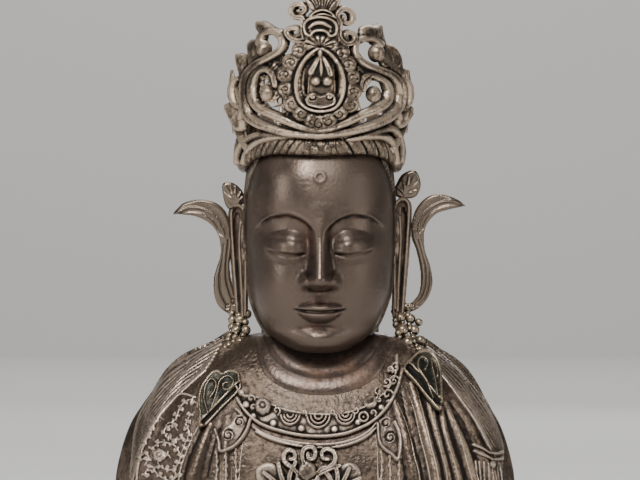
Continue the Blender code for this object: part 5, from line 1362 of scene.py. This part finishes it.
def make_crown_sides():
    """The scrolls, buds and flame leaves that run round the sides of the crown to its back."""
    wax = Wax()
    for side in (-1, 1):
        for middle, height, radius, foot in ((1.28, 21, 9.0, 1.0), (1.86, 14, 8.0, 1.5),
                                             (2.36, 8, 6.5, 2.02)):
            turn = np.radians((-30, 25, 80, 135, 190, 250, 310))
            shrink = np.array((1.0, 1.0, 1.0, 0.95, 0.85, 0.62, 0.42))
            across = middle + radius * shrink * np.cos(turn) / SIDE_RADIUS
            up = height + radius * shrink * np.sin(turn)
            rise = float(through(BAND_H_ANGLES, BAND_H, foot))
            angle = side * np.concatenate([[foot, (foot + middle) / 2 + 0.03], across])
            up = np.concatenate([[rise, (rise + height - radius) / 2], up])
            crown_rod(wax, round_screen(angle, up), (0.9 * ROD, 1.1 * ROD, 1.1 * ROD, 0.8 * ROD))
            wax.ball(bowed(round_screen(side * middle, height)), (3.6, 3.6, 4.0))
        for angle, low, high in ((1.52, 18, 40), (1.7, 8, 38), (1.92, 14, 34), (2.16, 0, 29), (2.4, 8, 25),
                                 (2.66, -4, 20)):
            turn = side * np.array((angle, angle + 0.04, angle + 0.03))
            points = round_screen(turn, np.array((low, (low + high) / 2, high)))
            points = points + away_from_head(points) * np.array((0, 1.0, 3.5))[:, None]
            crown_rod(wax, points, (8, 10.5, 1.2), (4, 4, 1.2), 20, 24, lambda s, t: 0.5 * np.cos(9 * s))
    return wax.cast("crown_sides", "crown_bronze", "crown")


def draw_band():
    """Slanting flutes round the rolled band, clouds at its middle and one stretch of crossed lines."""
    relief = Relief(-160, 160, -8, 8, 0.2)
    slot = 9.5
    while slot < 150:
        for side in (-1, 1):
            at = side * (slot + 0.7 * math.sin(2.1 * slot + side))
            relief.stroke(((at - 4.4 * side, 6.5), (at, 0.4), (at + 5.4 * side, -6.5)), (4.4,), (1.0,), 2.0)
            deep = -0.6 - 0.35 * (side > 0 and 24 < slot < 40) - 0.25 * (side < 0 and 12 < slot < 26)
            relief.groove(((at - 2.2 * side, 6.5), (at + 2.2 * side, 0.4), (at + 7.6 * side, -6.5)), (1.2,),
                          (deep,))
        slot += 4.5
    spots = np.stack(np.meshgrid(relief.x, relief.z), axis=-1)
    relief.height += 0.12 * grain(spots, 0.9, 5)
    place = relief.window(np.array([(-9, -7), (9, 7)]), 0)[0]
    relief.height[place] = np.minimum(relief.height[place], 0.3)
    for k, (x, z, radius) in enumerate(((-6.4, 2.6, 2.1), (-3, -1.6, 2.2), (0.6, 2.4, 2.3), (4, -1.4, 2.2),
                                        (7, 2.4, 2.0), (-7.4, -2.4, 1.8), (8, -2.2, 1.7), (-2.8, 4.6, 1.5),
                                        (3.8, 4.8, 1.5))):
        relief.disc(x, z, radius, 0.9, 2.4)
        relief.curl(x, z, 0.75 * radius, 1.2, 70 * k, 0.7, -0.5, 1 if k % 2 else -1)
    place = relief.window(np.array([(27, -7), (38, 7)]), 0)[0]
    relief.height[place] *= 0.9
    for k in range(7):
        at = 26.4 + 1.8 * k
        relief.groove(((at, -6), (at + 3, 0), (at + 5, 6)), (0.6,), (0.2,))
        relief.groove(((at + 5, -6), (at + 3, 0), (at, 6)), (0.6,), (0.2,))
    relief.inside[:] = 1
    return relief


def make_band():
    """The rolled and fluted band that closes round the head."""
    wax = Wax()
    angle = np.linspace(0, 2 * math.pi, 800, endpoint=False)
    from_front = np.minimum(angle, 2 * math.pi - angle)
    points = bowed(round_screen(angle, through(BAND_H_ANGLES, BAND_H, from_front), -2.2))
    out = away_from_head(points)
    turn = np.linspace(0, 2 * math.pi, 40, endpoint=False)
    relief = draw_band()
    tall, deep = ROD * 0.86, ROD * 0.62
    across = SIDE_RADIUS * np.where(angle < math.pi, from_front, -from_front)[:, None]
    up = -tall * np.sin(turn)[None, :]
    faced = np.clip(np.cos(turn) * 2 + 0.6, 0, 1)[None, :]
    rise = (relief.at(across + 0 * up, up + 0 * across) - 0.5) * faced
    marks = relief.sampled(relief.sunk(), across + 0 * up, up + 0 * across) * faced + 1e-6
    rings = (points[:, None] + out[:, None] * ((deep + rise) * np.cos(turn))[..., None]
             - np.array((0, 0, 1.0)) * ((tall + 0.4 * rise) * np.sin(turn))[..., None])
    wax.grid(rings, ends=False, ring=False, marks=marks)
    return wax.cast("crown_band", "crown_bronze", "crown")


# Hollows, where dirt gathers and rubbing doesn't reach, and where shade is also painted into the colour


def mark_hollows(pieces, cell=0.9, spread=1.0):
    """Gives every point an attribute that is above 0 in hollows and below 0 on crests."""
    points, normals, areas = [], [], []
    for piece in pieces:
        mesh = piece.data
        count = len(mesh.vertices)
        place, normal = np.empty(count * 3), np.empty(count * 3)
        mesh.vertices.foreach_get("co", place)
        mesh.vertices.foreach_get("normal", normal)
        faces = len(mesh.polygons)
        area = np.empty(faces)
        mesh.polygons.foreach_get("area", area)
        corner, owner = np.empty(len(mesh.loops), int), np.empty(faces, int)
        mesh.loops.foreach_get("vertex_index", corner)
        mesh.polygons.foreach_get("loop_total", owner)
        share = np.bincount(corner, weights=np.repeat(area / owner, owner), minlength=count)
        points.append(place.reshape(-1, 3) / MM)
        normals.append(normal.reshape(-1, 3))
        areas.append(share / MM**2)
    counts = [len(p) for p in points]
    points, normals, areas = np.vstack(points), np.vstack(normals), np.concatenate(areas)
    low = points.min(0) - 6 * cell
    size = np.ceil((points.max(0) - low) / cell).astype(int) + 8
    spots = (points - low) / cell
    base = np.floor(spots).astype(int)
    part = spots - base
    field = np.zeros(size.prod(), np.float32)
    weights = []
    for corner in range(8):
        step = np.array([corner >> k & 1 for k in range(3)])
        weight = np.prod(np.where(step, part, 1 - part), axis=1)
        index = np.ravel_multi_index(tuple((base + step).T), tuple(size))
        weights.append((index, weight))
        field += np.bincount(index, weights=weight * areas, minlength=len(field)).astype(np.float32)
    field = field.reshape(tuple(size))
    taps = np.exp(-0.5 * (np.arange(-3, 4) / spread) ** 2)
    taps /= taps.sum()
    for axis in range(3):
        field = sum(t * np.roll(field, k - 3, axis) for k, t in enumerate(taps)).astype(np.float32)
    result = np.zeros(len(points))
    total = sum(field.ravel()[index] * weight for index, weight in weights)
    for axis in range(3):
        slope = ((np.roll(field, -1, axis) - np.roll(field, 1, axis)) / 2).ravel()
        result += normals[:, axis] * sum(slope[index] * weight for index, weight in weights)
    drawn = []
    for piece in pieces:
        marks = np.empty(len(piece.data.vertices), np.float32)
        piece.data.attributes["drawn"].data.foreach_get("value", marks)
        drawn.append(marks)
    drawn = np.concatenate(drawn)
    result = result / np.maximum(total, 1e-6)
    # The materials darken the colour by this value: dirt, and painted shade in the hollows.
    result = np.where(drawn == 0, result, 0.3 * result + 0.32 * np.clip(drawn, -1.4, 1.4))
    start = 0
    for piece, count in zip(pieces, counts):
        mark = piece.data.attributes.new("hollow", "FLOAT", "POINT")
        mark.data.foreach_set("value", result[start:start + count].astype(np.float32))
        piece.data.attributes.remove(piece.data.attributes["drawn"])
        start += count


# Materials


def group(name, inputs, outputs):
    """A new shader node group with named sockets, and its input and output nodes."""
    tree = bpy.data.node_groups.new(name, "ShaderNodeTree")
    for title, kind, value in inputs:
        socket = tree.interface.new_socket(title, in_out="INPUT", socket_type=kind)
        if value is not None:
            socket.default_value = value
    for title, kind in outputs:
        tree.interface.new_socket(title, in_out="OUTPUT", socket_type=kind)
    return tree, tree.nodes.new("NodeGroupInput"), tree.nodes.new("NodeGroupOutput")


def node(tree, kind, **settings):
    """A node with its settings and unlinked inputs."""
    made = tree.nodes.new(kind)
    for key, value in settings.items():
        if key.startswith("in_"):
            made.inputs[int(key[3:])].default_value = value
        else:
            setattr(made, key, value)
    return made


def build_groups():
    """Dust, dirt and painted shade by how hollow the surface is, patina in patches, and pits of old casting.
    """
    tree, given, out = group("hollow_dust_and_shade", [
        ("Low", "NodeSocketFloat", -0.25), ("High", "NodeSocketFloat", 0.25),
        ("Noise", "NodeSocketFloat", 0.15),
        ("Scale", "NodeSocketFloat", 400.0)], [("Hollow", "NodeSocketFloat"), ("Crest", "NodeSocketFloat")])
    mark = node(tree, "ShaderNodeAttribute", attribute_name="hollow")
    place = node(tree, "ShaderNodeTexCoord")
    speck = node(tree, "ShaderNodeTexNoise")
    speck.inputs["Detail"].default_value = 6
    tree.links.new(place.outputs["Object"], speck.inputs["Vector"])
    tree.links.new(given.outputs["Scale"], speck.inputs["Scale"])
    centred = node(tree, "ShaderNodeMath", operation="SUBTRACT", in_1=0.5)
    tree.links.new(speck.outputs["Fac"], centred.inputs[0])
    shaken = node(tree, "ShaderNodeMath", operation="MULTIPLY_ADD")
    tree.links.new(centred.outputs[0], shaken.inputs[0])
    tree.links.new(given.outputs["Noise"], shaken.inputs[1])
    tree.links.new(mark.outputs["Fac"], shaken.inputs[2])
    # Hollow masks the dark colour of dirt and painted shade; Crest masks rubbed or dusty crests.
    hollow = node(tree, "ShaderNodeMapRange", interpolation_type="SMOOTHSTEP")
    crest = node(tree, "ShaderNodeMapRange", interpolation_type="SMOOTHSTEP")
    for made, first, last in ((hollow, "Low", "High"), (crest, "High", "Low")):
        tree.links.new(shaken.outputs[0], made.inputs["Value"])
        tree.links.new(given.outputs[first], made.inputs["From Min"])
        tree.links.new(given.outputs[last], made.inputs["From Max"])
    tree.links.new(hollow.outputs[0], out.inputs["Hollow"])
    tree.links.new(crest.outputs[0], out.inputs["Crest"])

    tree, given, out = group("patina_patches", [
        ("Scale", "NodeSocketFloat", 60.0), ("From", "NodeSocketFloat", 0.45),
        ("To", "NodeSocketFloat", 0.62)],
        [("Patch", "NodeSocketFloat")])
    place = node(tree, "ShaderNodeTexCoord")
    cloud = node(tree, "ShaderNodeTexNoise")
    cloud.inputs["Detail"].default_value = 8
    cloud.inputs["Roughness"].default_value = 0.62
    tree.links.new(place.outputs["Object"], cloud.inputs["Vector"])
    tree.links.new(given.outputs["Scale"], cloud.inputs["Scale"])
    made = node(tree, "ShaderNodeMapRange", interpolation_type="SMOOTHSTEP")
    tree.links.new(cloud.outputs["Fac"], made.inputs["Value"])
    tree.links.new(given.outputs["From"], made.inputs["From Min"])
    tree.links.new(given.outputs["To"], made.inputs["From Max"])
    tree.links.new(made.outputs[0], out.inputs["Patch"])

    tree, given, out = group("casting_pits", [
        ("Grain Scale", "NodeSocketFloat", 500.0), ("Pit Scale", "NodeSocketFloat", 260.0),
        ("Pit Share", "NodeSocketFloat", 0.3)], [("Height", "NodeSocketFloat")])
    place = node(tree, "ShaderNodeTexCoord")
    fine = node(tree, "ShaderNodeTexNoise")
    fine.inputs["Detail"].default_value = 5
    cells = node(tree, "ShaderNodeTexVoronoi")
    sparse = node(tree, "ShaderNodeTexNoise", in_2=40.0)
    for made, name in ((fine, "Grain Scale"), (cells, "Pit Scale")):
        tree.links.new(place.outputs["Object"], made.inputs["Vector"])
        tree.links.new(given.outputs[name], made.inputs["Scale"])
    tree.links.new(place.outputs["Object"], sparse.inputs["Vector"])
    pit = node(tree, "ShaderNodeMapRange", in_1=0.0, in_2=0.35, in_3=-1.0, in_4=0.0)
    tree.links.new(cells.outputs["Distance"], pit.inputs["Value"])
    where = node(tree, "ShaderNodeMapRange", in_1=0.45, in_2=0.7)
    tree.links.new(sparse.outputs["Fac"], where.inputs["Value"])
    some = node(tree, "ShaderNodeMath", operation="MULTIPLY")
    tree.links.new(pit.outputs[0], some.inputs[0])
    tree.links.new(where.outputs[0], some.inputs[1])
    much = node(tree, "ShaderNodeMath", operation="MULTIPLY")
    tree.links.new(some.outputs[0], much.inputs[0])
    tree.links.new(given.outputs["Pit Share"], much.inputs[1])
    total = node(tree, "ShaderNodeMath", operation="ADD")
    tree.links.new(fine.outputs["Fac"], total.inputs[0])
    tree.links.new(much.outputs[0], total.inputs[1])
    tree.links.new(total.outputs[0], out.inputs["Height"])


def mixed(tree, factor, first, second):
    """One colour laid over another by a mask. Either colour may be a socket."""
    made = node(tree, "ShaderNodeMix", data_type="RGBA")
    tree.links.new(factor, made.inputs["Factor"])
    for colour, name in ((first, "A"), (second, "B")):
        socket = [s for s in made.inputs if s.name == name and s.type == "RGBA"][0]
        if isinstance(colour, tuple):
            socket.default_value = (*colour, 1.0)
        else:
            tree.links.new(colour, socket)
    return [s for s in made.outputs if s.type == "RGBA"][0]


def bronze(name, base, patch, crest, dirt_and_shade, rough=0.4, metal=0.75, limits=(-0.2, 0.2), crests=(-0.3, -0.05),
           grain_scale=600.0, bump=0.25, pits=0.4, patch_scale=45.0, speckle=0.15):
    """Old bronze: its own colour, patches of another, rubbed or dusty crests, and dirt with painted shade in
    the hollows.
    """
    material = bpy.data.materials.new(name)
    material.use_nodes = True
    tree = material.node_tree
    shader = tree.nodes["Principled BSDF"]
    groups = bpy.data.node_groups
    patches = node(tree, "ShaderNodeGroup", node_tree=groups["patina_patches"])
    patches.inputs["Scale"].default_value = patch_scale
    flecks = node(tree, "ShaderNodeGroup", node_tree=groups["patina_patches"])
    flecks.inputs["Scale"].default_value = 9 * patch_scale
    flecks.inputs["From"].default_value, flecks.inputs["To"].default_value = 0.5, 0.68
    low = node(tree, "ShaderNodeGroup", node_tree=groups["hollow_dust_and_shade"])
    low.inputs["Low"].default_value, low.inputs["High"].default_value = limits
    low.inputs["Noise"].default_value = speckle
    high = node(tree, "ShaderNodeGroup", node_tree=groups["hollow_dust_and_shade"])
    high.inputs["Low"].default_value, high.inputs["High"].default_value = crests
    high.inputs["Noise"].default_value = 1.6 * speckle
    high.inputs["Scale"].default_value = 700.0
    colour = mixed(tree, patches.outputs["Patch"], base, patch)
    colour = mixed(tree, flecks.outputs["Patch"], colour, tuple(0.55 * c for c in base))
    colour = mixed(tree, high.outputs["Crest"], colour, crest)
    # Painted shade and dirt: the hollows take the dark colour.
    colour = mixed(tree, low.outputs["Hollow"], colour, dirt_and_shade)
    tree.links.new(colour, shader.inputs["Base Color"])
    shader.inputs["Metallic"].default_value = metal
    spread = node(tree, "ShaderNodeMapRange", in_3=rough - 0.07, in_4=rough + 0.12)
    tree.links.new(patches.outputs["Patch"], spread.inputs["Value"])
    dull = node(tree, "ShaderNodeMath", operation="MULTIPLY_ADD", in_1=0.35)
    tree.links.new(low.outputs["Hollow"], dull.inputs[0])
    tree.links.new(spread.outputs[0], dull.inputs[2])
    tree.links.new(dull.outputs[0], shader.inputs["Roughness"])
    skin = node(tree, "ShaderNodeGroup", node_tree=groups["casting_pits"])
    skin.inputs["Grain Scale"].default_value = grain_scale
    skin.inputs["Pit Share"].default_value = pits
    height = node(tree, "ShaderNodeBump")
    height.inputs["Strength"].default_value = bump
    height.inputs["Distance"].default_value = 0.0008
    tree.links.new(skin.outputs["Height"], height.inputs["Height"])
    tree.links.new(height.outputs["Normal"], shader.inputs["Normal"])
    return material


# Operators

MID_HEIGHT = 0.16
FRONT_Y = -0.03
VIEW_WIDTH = 0.32
FLOOR_BEND = 1.6
BUST_MIDDLE = (0.0, 0.0, MID_HEIGHT)
WALL_SPOT = (0.0, 4.5, 1.0)
# Each lamp: name, place, what it is aimed at, size and power
LAMPS = (
    ("key", (-0.2, -1.25, 1.15), BUST_MIDDLE, 0.6, 31),
    ("left", (-1.25, -0.75, 0.4), BUST_MIDDLE, 0.6, 5),
    ("right", (1.25, -0.65, 0.35), BUST_MIDDLE, 0.6, 4),
    ("top", (0.0, 0.45, 1.4), BUST_MIDDLE, 0.7, 7),
    ("back", (0.5, 1.9, 1.1), BUST_MIDDLE, 0.9, 7),
    ("wall", (0.0, 2.2, 3.0), WALL_SPOT, 2.0, 80),
)


class BustSizes(bpy.types.PropertyGroup):
    """Sizes that a user would change."""

    camera_distance: bpy.props.FloatProperty(
        name="Camera distance", description="From the camera to the bust", default=2.6, unit="LENGTH")
    floor_size: bpy.props.FloatProperty(
        name="Floor size", description="Side of the square floor", default=9.0, unit="LENGTH")


class BustColours(bpy.types.PropertyGroup):
    """Colours of the bronze."""

    dark: bpy.props.FloatVectorProperty(
        name="Dark bronze", description="Bare patinated bronze of the face", subtype="COLOR",
        default=(0.032, 0.024, 0.0205))
    dusty: bpy.props.FloatVectorProperty(
        name="Dusty bronze", description="Dust on the raised work", subtype="COLOR",
        default=(0.42, 0.335, 0.265))


class BUST_OT_bronze(bpy.types.Operator):
    """Mixes the bronzes"""

    bl_idname = "bust.bronze"
    bl_label = "Bronzes"

    def execute(self, context):
        build_groups()
        dark = tuple(context.scene.bust_colours.dark)
        dusty = tuple(context.scene.bust_colours.dusty)
        # The fourth colour of each bronze is for the hollows: dirt, and painted shade.
        bronze("face_bronze", dark, (0.088, 0.042, 0.029), (0.12, 0.088, 0.068), (0.014, 0.011, 0.009), 0.4,
               0.8, bump=0.2, pits=0.9, patch_scale=36.0)
        bronze("neck_bronze", (0.075, 0.052, 0.041), (0.15, 0.085, 0.055), (0.2, 0.15, 0.12),
               (0.03, 0.022, 0.018), 0.36, 0.75, bump=0.2)
        bronze("robe_bronze", (0.075, 0.053, 0.038), (0.16, 0.115, 0.083), (0.38, 0.28, 0.195),
               (0.014, 0.01, 0.008), 0.42, 0.75, (-0.02, 0.12), (-0.24, -0.07), bump=0.45, speckle=0.2)
        bronze("line_bronze", (0.11, 0.082, 0.06), (0.19, 0.145, 0.11), dusty, (0.014, 0.011, 0.008), 0.4,
               0.75, (-0.06, 0.12), (-0.26, -0.04), bump=0.4, speckle=0.2)
        bronze("hair_bronze", (0.06, 0.046, 0.035), (0.1, 0.076, 0.058), (0.2, 0.155, 0.12),
               (0.014, 0.011, 0.009), 0.45, 0.7, (0.12, 0.42), (-0.34, -0.1))
        bronze("dusty_bronze", (0.12, 0.09, 0.068), (0.2, 0.155, 0.12), dusty, (0.016, 0.012, 0.01), 0.45,
               0.7, bump=0.35, speckle=0.2)
        bronze("crown_bronze", (0.13, 0.097, 0.07), (0.25, 0.19, 0.135), (0.5, 0.39, 0.285),
               (0.012, 0.01, 0.008), 0.38, 0.76, (-0.04, 0.16), (-0.3, -0.1), bump=0.6, pits=0.8,
               patch_scale=110.0, speckle=0.26)
        bronze("pendant_bronze", (0.04, 0.042, 0.033), (0.1, 0.083, 0.06), (0.3, 0.235, 0.165),
               (0.01, 0.009, 0.007), 0.3, 0.75, (0.04, 0.16), (-0.34, -0.12), bump=0.3, patch_scale=160.0)
        bronze("ear_bronze", (0.08, 0.058, 0.043), (0.14, 0.1, 0.075), (0.28, 0.215, 0.16),
               (0.012, 0.01, 0.008), 0.4, 0.75, (0.06, 0.3), (-0.34, -0.1), bump=0.4)
        return {"FINISHED"}


class BUST_OT_head(bpy.types.Operator):
    """Models the head, hair, ears and neck"""

    bl_idname = "bust.head"
    bl_label = "Head, hair, ears and neck"

    def execute(self, context):
        make_head()
        make_hair()
        make_neck()
        make_ears()
        return {"FINISHED"}


class BUST_OT_robe(bpy.types.Operator):
    """Models the draped shoulders and chest"""

    bl_idname = "bust.robe"
    bl_label = "Robe"

    def execute(self, context):
        cloth = Cloth()
        front, back = make_robe()
        make_robe_lines(cloth, front, back)
        make_neck_front(cloth, front)
        make_necklace(cloth, front)
        return {"FINISHED"}


class BUST_OT_ornaments(bpy.types.Operator):
    """Models the pendants and ribbons"""

    bl_idname = "bust.ornaments"
    bl_label = "Ornaments"

    def execute(self, context):
        make_pendants(Cloth())
        make_ribbons()
        return {"FINISHED"}


class BUST_OT_crown(bpy.types.Operator):
    """Models the openwork crown"""

    bl_idname = "bust.crown"
    bl_label = "Crown"

    def execute(self, context):
        make_band()
        make_crown_front()
        make_crown_sides()
        return {"FINISHED"}


class BUST_OT_hollows_for_dirt_and_shade(bpy.types.Operator):
    """Finds the hollows and crests of every piece"""

    bl_idname = "bust.age"
    # The hollows found here darken the colour as dirt and painted shade.
    bl_label = "Wear and dirt"

    def execute(self, context):
        pieces = [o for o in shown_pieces() if o.type == "MESH" and "hollow" not in o.data.attributes]
        mark_hollows(pieces)
        return {"FINISHED"}


class BUST_OT_stage(bpy.types.Operator):
    """Adds the floor, the lights and the camera"""

    bl_idname = "bust.stage"
    bl_label = "Stage"

    def execute(self, context):
        sizes = context.scene.bust_sizes
        far = 0.4 * sizes.floor_size
        bpy.ops.object.select_all(action="DESELECT")
        bpy.ops.mesh.primitive_plane_add(size=sizes.floor_size, location=(0, 0, 0))
        floor = context.object
        bpy.ops.object.mode_set(mode="EDIT")
        bpy.ops.mesh.select_all(action="DESELECT")
        mesh = bmesh.from_edit_mesh(floor.data)
        for edge in mesh.edges:
            edge.select_set(all(v.co.y > far for v in edge.verts))
        bpy.ops.mesh.extrude_edges_move(TRANSFORM_OT_translate={"value": (0, 0, far)})
        bpy.ops.mesh.select_all(action="DESELECT")
        mesh = bmesh.from_edit_mesh(floor.data)
        for edge in mesh.edges:
            edge.select_set(all(v.co.y > far and v.co.z < 0.01 for v in edge.verts))
        bpy.ops.mesh.bevel(offset=FLOOR_BEND, segments=24)
        bpy.ops.object.mode_set(mode="OBJECT")
        bpy.ops.object.shade_smooth()
        floor.name = "floor"
        material = bpy.data.materials.new("pale_floor")
        material.use_nodes = True
        shader = material.node_tree.nodes["Principled BSDF"]
        shader.inputs["Base Color"].default_value = (0.72, 0.71, 0.69, 1)
        shader.inputs["Roughness"].default_value = 0.8
        floor.data.materials.append(material)
        floor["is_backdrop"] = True
        world = bpy.data.worlds.new("studio")
        world.use_nodes = True
        world.node_tree.nodes["Background"].inputs["Color"].default_value = (0.8, 0.8, 0.8, 1)
        world.node_tree.nodes["Background"].inputs["Strength"].default_value = 0.1
        context.scene.world = world
        for name, place, aim, size, power in LAMPS:
            lamp = bpy.data.lights.new(name, "AREA")
            lamp.size, lamp.energy = size, power
            made = bpy.data.objects.new(name, lamp)
            made.location = place
            made.rotation_euler = (Vector(aim) - Vector(place)).to_track_quat("-Z", "Y").to_euler()
            context.scene.collection.objects.link(made)
        camera = bpy.data.cameras.new("camera")
        camera.sensor_width = 36
        camera.lens = camera.sensor_width * sizes.camera_distance / VIEW_WIDTH
        made = bpy.data.objects.new("camera", camera)
        made.location = (0, FRONT_Y - sizes.camera_distance, MID_HEIGHT)
        made.rotation_euler = (math.pi / 2, 0, 0)
        context.scene.collection.objects.link(made)
        context.scene.camera = made
        return {"FINISHED"}


class BUST_PT_panel(bpy.types.Panel):
    """Sidebar panel of the bust"""

    bl_label = "Bronze bust"
    bl_idname = "BUST_PT_panel"
    bl_space_type = "VIEW_3D"
    bl_region_type = "UI"
    bl_category = "Bust"

    def draw(self, context):
        for settings in (context.scene.bust_sizes, context.scene.bust_colours):
            for name in settings.__annotations__:
                self.layout.prop(settings, name)
        for step in STEPS:
            self.layout.operator(step.bl_idname)


STEPS = (BUST_OT_bronze, BUST_OT_head, BUST_OT_robe, BUST_OT_ornaments, BUST_OT_crown, BUST_OT_hollows_for_dirt_and_shade,
         BUST_OT_stage)
CLASSES = (BustSizes, BustColours, *STEPS, BUST_PT_panel)


def register():
    for made in CLASSES:
        bpy.utils.register_class(made)
    bpy.types.Scene.bust_sizes = bpy.props.PointerProperty(type=BustSizes)
    bpy.types.Scene.bust_colours = bpy.props.PointerProperty(type=BustColours)


def unregister():
    del bpy.types.Scene.bust_colours
    del bpy.types.Scene.bust_sizes
    for made in reversed(CLASSES):
        bpy.utils.unregister_class(made)


def main():
    register()
    bpy.ops.bust.bronze()
    bpy.ops.bust.head()
    bpy.ops.bust.robe()
    bpy.ops.bust.ornaments()
    bpy.ops.bust.crown()
    bpy.ops.bust.age()
    bpy.ops.bust.stage()


if __name__ == "__main__":
    main()
